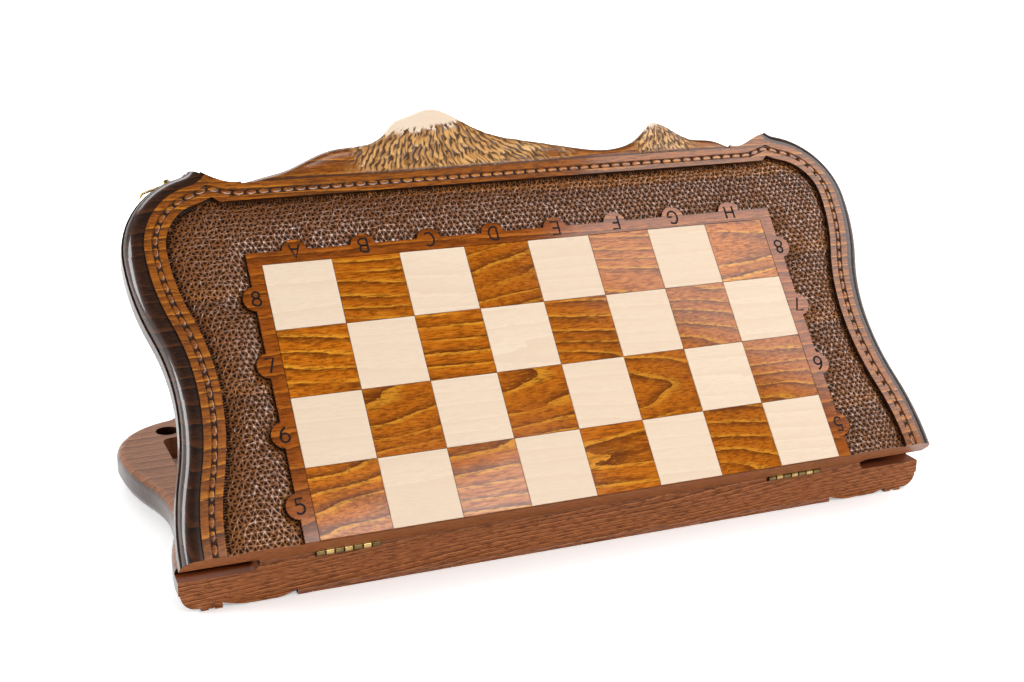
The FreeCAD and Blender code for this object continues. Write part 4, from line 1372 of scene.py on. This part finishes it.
    def _lattice(self, edge: np.ndarray) -> tuple[np.ndarray, np.ndarray]:
        """A net of even triangles over the whole leaf, with a straight row on the spine.

        Args:
            edge: The frame's inner edge.

        Returns:
            The corners and the triangles.
        """
        rise = self.punch * math.sqrt(0.75)
        half = edge[:, 0].max() + self.punch
        rows, columns = int(edge[:, 1].max() / rise) + 2, int(2 * half / self.punch) + 2
        row, column = np.mgrid[0:rows, 0:columns]
        x = (column + 0.5 * (row % 2)) * self.punch - half
        points = np.column_stack((x.ravel(), (row * rise).ravel()))
        here = (row * columns + column)[:-1, :-1]
        odd = row[:-1, :-1] % 2
        above = here + columns
        first = np.stack((here, here + 1, above + odd), axis=-1).reshape(-1, 3)
        second = np.stack((here + 1 - odd, above + 1, above), axis=-1).reshape(-1, 3)
        return points, np.vstack((first, second))

    def _inside(self, points: np.ndarray, edge: np.ndarray) -> tuple[np.ndarray, np.ndarray]:
        """Which points lie on the ground, and how far each is from the ground's edges.

        Args:
            points: The points, one row each.
            edge: The frame's inner edge.

        Returns:
            True or false for each point, and the distances.
        """
        outline = self.shop.outline
        right = edge[:np.argmax(edge[:, 1]) + 1]
        half = np.interp(points[:, 1], right[:, 1], right[:, 0])
        cusp, peak = abs(right[-1, 0]), right[-1, 1]
        level = outline.bulge_along + outline.band_rise
        top = np.interp(np.abs(points[:, 0]), (cusp - outline.cusp_run, cusp), (level, peak))
        inside = (np.abs(points[:, 0]) < half) & (points[:, 1] < top) & ~self.board.covers(points)
        return inside, nearest(points, np.vstack((edge, self.board.edge())))

    @staticmethod
    def _one_rim(triangles: np.ndarray) -> np.ndarray:
        """Leaves out triangles that hang on by one corner, so that the rim is one loop.

        Args:
            triangles: The corners of each triangle.

        Returns:
            The triangles that stay.
        """
        while True:
            owners: dict[tuple[int, int], list[int]] = {}
            for number, face in enumerate(triangles.tolist()):
                for first, last in zip(face, face[1:] + face[:1]):
                    owners.setdefault((min(first, last), max(first, last)), []).append(number)
            rim = [(ends, numbers[0]) for ends, numbers in owners.items() if len(numbers) == 1]
            corners, counts = np.unique([ends for ends, _ in rim], return_counts=True)
            pinched = set(corners[counts > 2].tolist())
            loose = {number for ends, number in rim if pinched.intersection(ends)}
            if not loose:
                return triangles
            triangles = np.delete(triangles, sorted(loose), axis=0)

    def _height(self, gap: np.ndarray) -> np.ndarray:
        """The swell of the ground by the distance from its edges."""
        fall = (1 - np.clip(gap / self.swell, 0, 1)) ** 2
        return self.shop.frame.thickness - self.top_depth - (self.edge_depth - self.top_depth) * fall

    def _nicks(self, leaf: Leaf, edge: np.ndarray) -> None:
        """Lays dark wedges along the frame and a row of them down the border's wall, as painted shade of
        furrows and tool nicks.

        Args:
            leaf: The leaf that carries the ground.
            edge: The frame's inner edge.
        """
        points: list[np.ndarray] = []
        near, far = self._height(np.array([0.0, self.furrow_reach])) + self.furrow_proud
        for spot in spaced(edge, self.furrow_step):
            if spot[1] >= self.nick_step:
                way = self._from_frame(spot, edge)
                points += self._wedge(spot, way, self.furrow_reach, self.furrow_depth, (near, far))
        board = self.board.edge()
        half = np.abs(board[:, 0]).max()
        top = self.shop.frame.thickness + self.nick_proud
        for spot in board[::max(1, round(self.nick_step / self.board.edge_step))]:
            if spot[1] >= self.nick_step and abs(spot[0]) <= half:
                way = self._from_board(spot)
                points += self._wedge(spot, way, self.nick_reach, self.nick_depth, (top, top))
        faces = [tuple(start + n for n in face)
                 for start in range(0, len(points), 8) for face in WEDGE_FACES]
        # Painted shade: the wedges take the burnt finish for its near-black colour.
        self.shop.piece("edge_nick_shade", leaf, np.array(points), faces, self.shop.burnt, "walnut_stained_wood")

    def _wedge(self, spot: np.ndarray, way: np.ndarray, reach: float, depth: float,
               levels: tuple[float, float]) -> list[np.ndarray]:
        """One dark wedge, painted shade of a cut, narrow at the wall and wide in the ground.

        Args:
            spot: Where it starts on the wall.
            way: The direction from the wall into the ground.
            reach: How far it goes.
            depth: How deep it is.
            levels: Its height at the wall and at its far end.

        Returns:
            Its eight corners.
        """
        aside = np.array([-way[1], way[0]]) * self.nick_width / 2
        corners = []
        for drop, share in ((0.0, 1.0), (depth, self.foot_share)):
            for along, across, level in ((-self.nick_tail, self.tail_share, levels[0]),
                                         (reach * share, 1.0, levels[1])):
                for hand in (-1, 1):
                    corners.append(np.append(spot + way * along + aside * hand * across, level - drop))
        return corners

    def _from_frame(self, spot: np.ndarray, edge: np.ndarray) -> np.ndarray:
        """The direction from the frame towards the open ground.

        Args:
            spot: A place on the frame's inner edge.
            edge: The frame's inner edge.

        Returns:
            The direction, of length 1.
        """
        middle = np.array([0.0, 0.5 * self.board.ranks * self.board.square])
        nearby = edge[np.argsort(((edge - spot) ** 2).sum(axis=1))[:2]]
        along = nearby[1] - nearby[0]
        way = np.array([-along[1], along[0]]) / max(np.linalg.norm(along), 1e-9)
        return way if way @ (middle - spot) > 0 else -way

    def _from_board(self, spot: np.ndarray) -> np.ndarray:
        """The direction from the border towards the open ground.

        Args:
            spot: A place on the border's outside.

        Returns:
            The direction, of length 1.
        """
        close = 0.1 * MM
        for lobe in self.board.lobes():
            way = spot - np.array(lobe)
            if abs(np.hypot(*way) - self.board.lobe_radius) < close:
                return way / np.hypot(*way)
        if abs(abs(spot[0]) - self.board.half()) < close:
            return np.array([math.copysign(1, spot[0]), 0.0])
        return np.array([0.0, 1.0])


@dataclass
class ChainCarving:
    """The chain that is cut along the frame with a gouge, link by link."""

    shop: Workshop
    half_width: float = 1.95 * MM
    link: float = 7.9 * MM
    bow: float = 1.7 * MM
    depth: float = 1.0 * MM
    rim: float = 0.05 * MM
    bottom: float = 1.2 * MM
    step: float = 0.4 * MM
    across: int = 11
    ease_points: int = 15
    neck_share: float = 0.6
    belly_share: float = 0.34
    fall_share: float = 0.35
    head_fade: tuple[float, float] = (0.02, 0.32)
    tail_fade: tuple[float, float] = (0.94, 1.0)
    dark_fade: tuple[float, float] = (0.3, 0.8)
    edge_cut: float = 0.1

    def build(self, leaf: Leaf) -> None:
        """Cuts the chain of one leaf.

        Args:
            leaf: The leaf that carries the chain.
        """
        line = self._eased(spaced(self.shop.outline.chain_line(), self.step))
        ways = tangents(line)
        out = np.column_stack((-ways[:, 1], ways[:, 0]))
        along = np.concatenate(([0.0], np.cumsum(np.linalg.norm(np.diff(line, axis=0), axis=1))))
        span = np.linspace(-1, 1, self.across)
        stations, places = np.meshgrid(along, span, indexing="ij")
        cut = self._cut(stations, places)
        flat = line[:, None, :] + out[:, None, :] * (span * self.half_width)[None, :, None]
        thick = self.shop.frame.thickness
        points = np.column_stack((flat.reshape(-1, 2), (thick - self.rim - self.depth * cut).ravel()))
        sheet = grid_faces(*stations.shape)
        points, faces = closed_below(points, sheet, rim_of(sheet), thick - self.bottom)
        # Stain and painted shade: darker where the chain is cut deeper.
        stain_and_shade = np.concatenate((smooth(*self.dark_fade, cut.ravel()), np.ones(len(points) - cut.size)))
        self.shop.piece("chain_carving", leaf, points, faces, self.shop.chain, "amber_stained_wood",
                        {"stain_and_shade": stain_and_shade}, len(sheet))

    def _eased(self, line: np.ndarray) -> np.ndarray:
        """A line with its sharp bends rounded and its ends kept.

        Args:
            line: Points at even distances.

        Returns:
            As many points.
        """
        soft, numbers = self.ease_points, np.arange(len(line))
        padded = np.vstack((np.repeat(line[:1], soft, axis=0), line, np.repeat(line[-1:], soft, axis=0)))
        kernel = np.ones(2 * soft + 1) / (2 * soft + 1)
        eased = np.column_stack([np.convolve(padded[:, axis], kernel, "valid") for axis in (0, 1)])
        return np.where(np.minimum(numbers, numbers[::-1])[:, None] < soft, line, eased)

    def _cut(self, stations: np.ndarray, places: np.ndarray) -> np.ndarray:
        """How much wood is gone from each place of the chain.

        Args:
            stations: The distance of each place along the chain.
            places: How far it lies aside, from -1 to 1.

        Returns:
            Shares of the chain's depth.
        """
        pitch = stations.max() / round(stations.max() / self.link)
        phase = ((stations - self.bow * places ** 2) / pitch) % 1.0
        girth = self.neck_share + self.belly_share * np.sin(math.pi * np.clip(phase * 1.1, 0, 1)) ** 0.7
        pod = np.sqrt(np.clip(1 - (places / girth) ** 2, 0, 1)) * smooth(*self.head_fade, phase)
        pod = pod * (1 - self.fall_share * phase) * (1 - smooth(*self.tail_fade, phase))
        return np.where(np.abs(places) > 0.99, self.edge_cut, 1 - pod)


@dataclass(frozen=True)
class Mountain:
    """One summit of the crest, with shares of the board's square for its places."""

    peak_share: tuple[float, float]
    snow_share: float
    snow_lean: float
    reach_shares: tuple[float, float]
    cut_length: float
    cut_width: float


@dataclass
class CrestCarving:
    """The mountains along the crest, with feather cuts below bare summits."""

    shop: Workshop
    square: float = SQUARE
    relief: float = 5 * MM
    cell: float = 0.45 * MM
    rows: int = 80
    band: float = 3.2 * MM
    skin: float = 0.4 * MM
    edge_fall: float = 2.6 * MM
    edge_reach: float = 4.5 * MM
    dish: float = 1.3 * MM
    dish_reach: float = 9 * MM
    dish_foot: float = 2 * MM
    body: float = 1.5 * MM
    body_reach: float = 8 * MM
    feather_rise: float = 1.1 * MM
    feather_cut: float = 0.25 * MM
    proud: float = 0.35 * MM
    snow_soft: float = 1.5 * MM
    waves: tuple[tuple[float, float, float], ...] = ((310, 90, 0.0), (170, -230, 1.3))
    side_fade: tuple[float, float] = (0.68, 1.0)
    side_wander: float = 0.12
    side_chance: float = 0.2
    foot_wander: float = 0.6 * MM
    body_fade: tuple[float, float] = (0.35, 1.05)
    groove_fade: tuple[float, float] = (0.1, 0.6)
    apex_share: float = 1.6
    squeeze: float = 0.85
    sways: tuple[tuple[float, float, float], ...] = ((0.35, 9, 2.1), (0.3, 23, 1.7))
    twist: float = 0.25
    tongue_girth: float = 0.9
    foot_line: tuple[float, float] = (0.9 * MM, 2.1 * MM)
    sky_line: tuple[float, float] = (1.2 * MM, 4.5 * MM)
    sky_dark: float = 0.75
    hollow_share: float = 0.92
    tone_share: float = 0.85
    mountains: tuple[Mountain, ...] = (
        Mountain((-0.955, 6.342), 0.34, 0.1, (1.6, 2.15), 11.0 * MM, 3.2 * MM),
        Mountain((2.68, 5.87), 0.1, 0.1, (0.5, 0.7), 8.0 * MM, 2.6 * MM),
    )

    def build(self, leaf: Leaf) -> None:
        """Carves the crest of one leaf in place of its plain relief.

        Args:
            leaf: The leaf that carries the crest.
        """
        hand = 1 if leaf is Leaf.UPPER else -1
        node = f"{leaf.value}_crest_carving"
        sky, foot = self._skyline(node, leaf)
        columns = int((sky[-1, 0] - sky[0, 0]) / self.cell) + 1
        x = np.linspace(sky[0, 0], sky[-1, 0], columns)
        top = np.interp(x, sky[:, 0], sky[:, 1])[:, None]
        across, climb = np.meshgrid(x, np.linspace(0, 1, self.rows + 1), indexing="ij")
        y = foot + (top - foot) * climb
        height, marks = self._carve(hand * across, y, top - y, y - foot)
        points = np.column_stack((across.ravel(), y.ravel(), height.ravel()))
        sheet = grid_faces(*across.shape)
        points, faces = closed_below(points, sheet, rim_of(sheet), self.shop.frame.thickness - self.relief)
        spare = np.zeros(len(points) - across.size)
        values = {name: np.concatenate((value.ravel(), spare)) for name, value in marks.items()}
        made = self.shop.piece("mountains", leaf, points, faces, self.shop.crest, "carved_crest_wood",
                               values, len(sheet))
        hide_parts(node)

    def _skyline(self, node: str, leaf: Leaf) -> tuple[np.ndarray, float]:
        """The crest's upper edge in the leaf's frame, and the line that it stands on.

        Args:
            node: The crest's node in the frame.
            leaf: The leaf that carries it.

        Returns:
            Points along the edge, and the distance of the line from the spine.
        """
        back = self.shop.frame.matrix(leaf).inverted()
        found = np.array([back @ vertex.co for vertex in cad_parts[node].data.vertices])
        foot = float(found[:, 1].min())
        x = np.round(found[:, 0], 5)
        edge = np.array([(place, found[x == place, 1].max()) for place in np.unique(x)])
        return edge[edge[:, 1] > foot + 0.1 * MM], foot

    def _carve(self, x: np.ndarray, y: np.ndarray, below: np.ndarray,
               above: np.ndarray) -> tuple[np.ndarray, dict[str, np.ndarray]]:
        """The relief of the crest.

        Args:
            x: Places along the spine.
            y: Places from the spine.
            below: How far each place lies below the skyline.
            above: How far each place lies above the foot.

        Returns:
            The heights, and the marks that the finish reads.
        """
        edge_round = self.edge_fall * (1 - np.clip(below / self.edge_reach, 0, 1)) ** 2
        dished = self.dish * smooth(self.dish_foot, self.dish_reach, above)
        dished = dished * smooth(0, self.dish_reach, below)
        height = self.shop.frame.thickness - self.skin - edge_round - dished
        feather, snow, cuts_and_shade, tone = (np.zeros_like(x) for _ in range(4))
        wander = sum(0.5 * np.sin(x * along + y * up + shift) for along, up, shift in self.waves)
        for mountain in self.mountains:
            px, py = (share * self.square for share in mountain.peak_share)
            left, right = (reach * self.square for reach in mountain.reach_shares)
            aside = np.where(x < px, (px - x) / left, (x - px) / right)
            tongue, chance = self._tongues(mountain, x - px, py - y)
            blurred = aside + self.side_wander * wander + self.side_chance * (chance - 0.5)
            mask = 1 - smooth(*self.side_fade, blurred)
            mask = mask * smooth(0.0, self.band, above + self.foot_wander * wander)
            snow_line = py - mountain.snow_share * self.square + mountain.snow_lean * (x - px)
            ragged = mountain.cut_length * (0.5 * chance - 0.25 + 0.1 * wander)
            cap = smooth(-self.snow_soft, self.snow_soft, y - snow_line + ragged) * (aside < 1)
            part = mask * (1 - cap)
            swell = (self.feather_rise * tongue - self.feather_cut) * part
            body = self.body * (1 - smooth(*self.body_fade, aside)) * smooth(0, self.body_reach, above)
            height = height + np.minimum(body + swell, edge_round + dished + self.proud)
            feather = np.maximum(feather, part)
            cuts_and_shade = np.maximum(cuts_and_shade, part * (1 - smooth(*self.groove_fade, tongue)))
            tone = np.where(part > 0.02, tongue * (0.2 + 0.8 * chance) * part, tone)
            snow = np.maximum(snow, cap * (below >= 0))
        # Painted shade: a dark line along the foot, and a darker band down from the rounded skyline away
        # from the snow.
        cuts_and_shade = np.maximum(cuts_and_shade, 1 - smooth(*self.foot_line, above))
        cuts_and_shade = np.maximum(cuts_and_shade, self.sky_dark * (1 - snow) * (1 - smooth(*self.sky_line, below)))
        return height, {"stain_and_shade": cuts_and_shade * self.hollow_share, "feather": feather, "snow": snow,
                        "tone": tone * self.tone_share}

    def _tongues(self, mountain: Mountain, aside: np.ndarray,
                 down: np.ndarray) -> tuple[np.ndarray, np.ndarray]:
        """Flame-shaped cuts that run down from a summit, in two layers that overlap.

        Args:
            mountain: The summit and the size of its cuts.
            aside: How far each place lies beside the summit.
            down: How far each place lies below the summit.

        Returns:
            The height of the wood left between the cuts, from 0 to 1, and a number of chance for each
            tongue.
        """
        deep = down + self.apex_share * mountain.cut_length
        spread = np.hypot(self.squeeze * aside, deep)
        angle = np.arctan2(self.squeeze * aside, deep)
        best = np.zeros_like(aside)
        kept = np.zeros_like(aside)
        for layer in range(2):
            sway = sum(size * np.sin(turns * angle + shift * layer) for size, turns, shift in self.sways)
            row = spread / mountain.cut_length + layer / 2 + sway
            ring = np.floor(row)
            aloft = row - ring
            count = np.round(math.tau * (ring + 0.5) * mountain.cut_length / mountain.cut_width)
            turn = angle / math.tau * count + self._chance(ring, 7.0 + layer)
            place = turn + self.twist * np.sin(math.tau * aloft + ring)
            lobe = np.floor(place)
            chance = self._chance(lobe, 2 * ring + layer)
            girth = np.clip(np.sin(math.pi * aloft ** 1.4) ** 0.8, 0.1, 1) * self.tongue_girth
            tongue = np.clip(1 - (np.abs(2 * (place - lobe) - 1) / girth) ** 2, 0, 1)
            tongue = tongue * (0.4 + 0.6 * aloft) * (0.5 + 0.5 * chance)
            kept = np.where(tongue > best, chance, kept)
            best = np.maximum(best, tongue)
        return best, kept

    @staticmethod
    def _chance(first: np.ndarray, second: np.ndarray | float) -> np.ndarray:
        """An even spread of numbers from 0 to 1 that stays the same for the same pair."""
        return np.modf(np.abs(np.sin(first * 12.9898 + second * 78.233) * 43758.5453))[0]


@dataclass(frozen=True)
class Case:
    """The slabs, trays and brass fittings that come from the frame as they are."""

    shop: Workshop

    def build(self, leaf: Leaf) -> None:
        """Dresses the wood of one leaf.

        Args:
            leaf: The leaf.
        """
        shop = self.shop
        finishes = {"slab": shop.slab, "tray_floor": shop.floor, "light_points": shop.pale_point,
                    "dark_points": shop.dark_point}
        for piece, finish in finishes.items():
            shop.dress(f"{leaf.value}_{piece}", finish, leaf)

    def fit(self, side: Side) -> None:
        """Dresses the hinge and the hook at one side.

        Args:
            side: The side.
        """
        for leaf in Leaf:
            self.shop.dress(f"{side.value}_hinge_{leaf.value}_plate", self.shop.hinge_brass, leaf)
            self.shop.dress(f"{side.value}_hinge_{leaf.value}_screws", self.shop.brass, leaf)
        for piece in ("hook", "hook_screw", "hook_washer"):
            self.shop.dress(f"{side.value}_{piece}", self.shop.brass, Leaf.UPPER)
        for piece in ("hinge_pin", "catch_stud"):
            self.shop.dress(f"{side.value}_{piece}", self.shop.brass, Leaf.LOWER)


@dataclass(frozen=True)
class Lamp:
    """A soft lamp, with its size and its power in watts."""

    name: str
    place: tuple[float, float, float]
    size: tuple[float, float]
    power: float

    def hang(self, target: Sequence[float]) -> None:
        """Hangs the lamp.

        Args:
            target: Where it points.
        """
        data = bpy.data.lights.new(self.name, "AREA")
        data.shape = "RECTANGLE"
        data.size, data.size_y = self.size
        data.energy = self.power
        made = bpy.data.objects.new(self.name, data)
        bpy.context.scene.collection.objects.link(made)
        made.location = self.place
        made.rotation_euler = (Vector(target) - Vector(self.place)).to_track_quat("-Z", "Y").to_euler()


@dataclass
class Studio:
    """The floor, the lights and the camera."""

    camera_place: tuple[float, float, float] = (-0.3937, -0.9288, 0.4300)
    camera_right: tuple[float, float, float] = (0.9209, -0.3895, 0.0157)
    camera_ahead: tuple[float, float, float] = (0.3743, 0.8722, -0.3149)
    lens: float = 54.43
    sensor: float = 36
    aim: tuple[float, float, float] = (0, 0, 0.1)
    lamps: tuple[Lamp, ...] = (
        Lamp("front_softbox", (0.30, -1.28, 1.18), (0.84, 0.66), 12.4),
        Lamp("right_softbox", (1.35, -0.42, 1.45), (1.1, 1.1), 16.5),
        Lamp("left_strip", (-1.55, 0.22, 0.75), (0.45, 1.0), 18),
        Lamp("back_softbox", (-0.4, 1.5, 1.6), (1.6, 0.8), 20),
    )
    floor_half: float = 6.0
    floor_level: float = -0.3 * MM
    paper: Colour = (0.9, 0.9, 0.9, 1)
    paper_rough: float = 0.9
    near_glow: float = 0.4
    far_glow: float = 0.95
    glow_reach: tuple[float, float] = (0.3, 1.2)
    room_light: float = 0.13
    band_rise: tuple[float, float] = (0.4, 0.25)

    def build(self) -> None:
        """Sets up the studio."""
        self._camera()
        self._floor()
        self._world()
        for lamp in self.lamps:
            lamp.hang(self.aim)
        bpy.context.scene.view_settings.view_transform = "Standard"

    def _camera(self) -> None:
        """The camera of the reference view."""
        data = bpy.data.cameras.new("camera")
        data.sensor_width = self.sensor
        data.lens = self.lens
        made = bpy.data.objects.new("camera", data)
        bpy.context.scene.collection.objects.link(made)
        ahead, right = Vector(self.camera_ahead).normalized(), Vector(self.camera_right).normalized()
        up = right.cross(ahead).normalized()
        turn = Matrix((right, up, -ahead)).transposed().to_4x4()
        made.matrix_world = Matrix.Translation(self.camera_place) @ turn
        bpy.context.scene.camera = made

    def _floor(self) -> None:
        """A pale floor that takes the case's shadow, and looks white away from it."""
        half, level = self.floor_half, self.floor_level
        mesh = bpy.data.meshes.new("floor")
        corners = [(-half, -half, level), (half, -half, level), (half, half, level), (-half, half, level)]
        mesh.from_pydata(corners, [], [(0, 1, 2, 3)])
        made = bpy.data.objects.new("floor", mesh)
        bpy.context.scene.collection.objects.link(made)
        paper = bpy.data.materials.new("floor_paper")
        paper.use_nodes = True
        graph = Graph(paper.node_tree)
        away = graph.away(graph.add("ShaderNodeTexCoord").outputs["Object"], (0, 0, 0))
        glow = graph.blended_sum(graph.step(away, *self.glow_reach), self.far_glow - self.near_glow,
                                 self.near_glow)
        shader = graph.add("ShaderNodeBsdfPrincipled", {
            "Base Color": self.paper, "Roughness": self.paper_rough, "Emission Strength": 1.0,
            "Emission Color": graph.calc("MULTIPLY", graph.background_rays(), glow)})
        graph.add("ShaderNodeOutputMaterial", {"Surface": shader.outputs[0]})
        mesh.materials.append(paper)

    def _world(self) -> None:
        """A plain dim room round the lamps, with a white band where it meets the floor."""
        world = bpy.data.worlds.new("studio")
        bpy.context.scene.world = world
        world.use_nodes = True
        graph = Graph(world.node_tree)
        rise = graph.apart(graph.add("ShaderNodeTexCoord").outputs["Generated"])[2]
        band = graph.calc("MULTIPLY", graph.background_rays(), graph.step(rise, *self.band_rise))
        strength = graph.blended_sum(band, 1 - self.room_light, self.room_light)
        light = graph.add("ShaderNodeBackground", {"Color": (1, 1, 1, 1), "Strength": strength})
        graph.add("ShaderNodeOutputWorld", {"Surface": light.outputs[0]})


def main() -> None:
    """Builds and dresses the whole case."""
    logging.basicConfig(level=logging.INFO, format="%(name)s %(message)s")
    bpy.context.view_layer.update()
    shop = Workshop()
    board = ChessBoard(shop)
    case = Case(shop)
    for leaf in Leaf:
        case.build(leaf)
        board.build(leaf)
        CarvedGround(shop, board).build(leaf)
        ChainCarving(shop).build(leaf)
        CrestCarving(shop).build(leaf)
    for side in Side:
        case.fit(side)
    Studio().build()


if __name__ == "__main__":
    main()
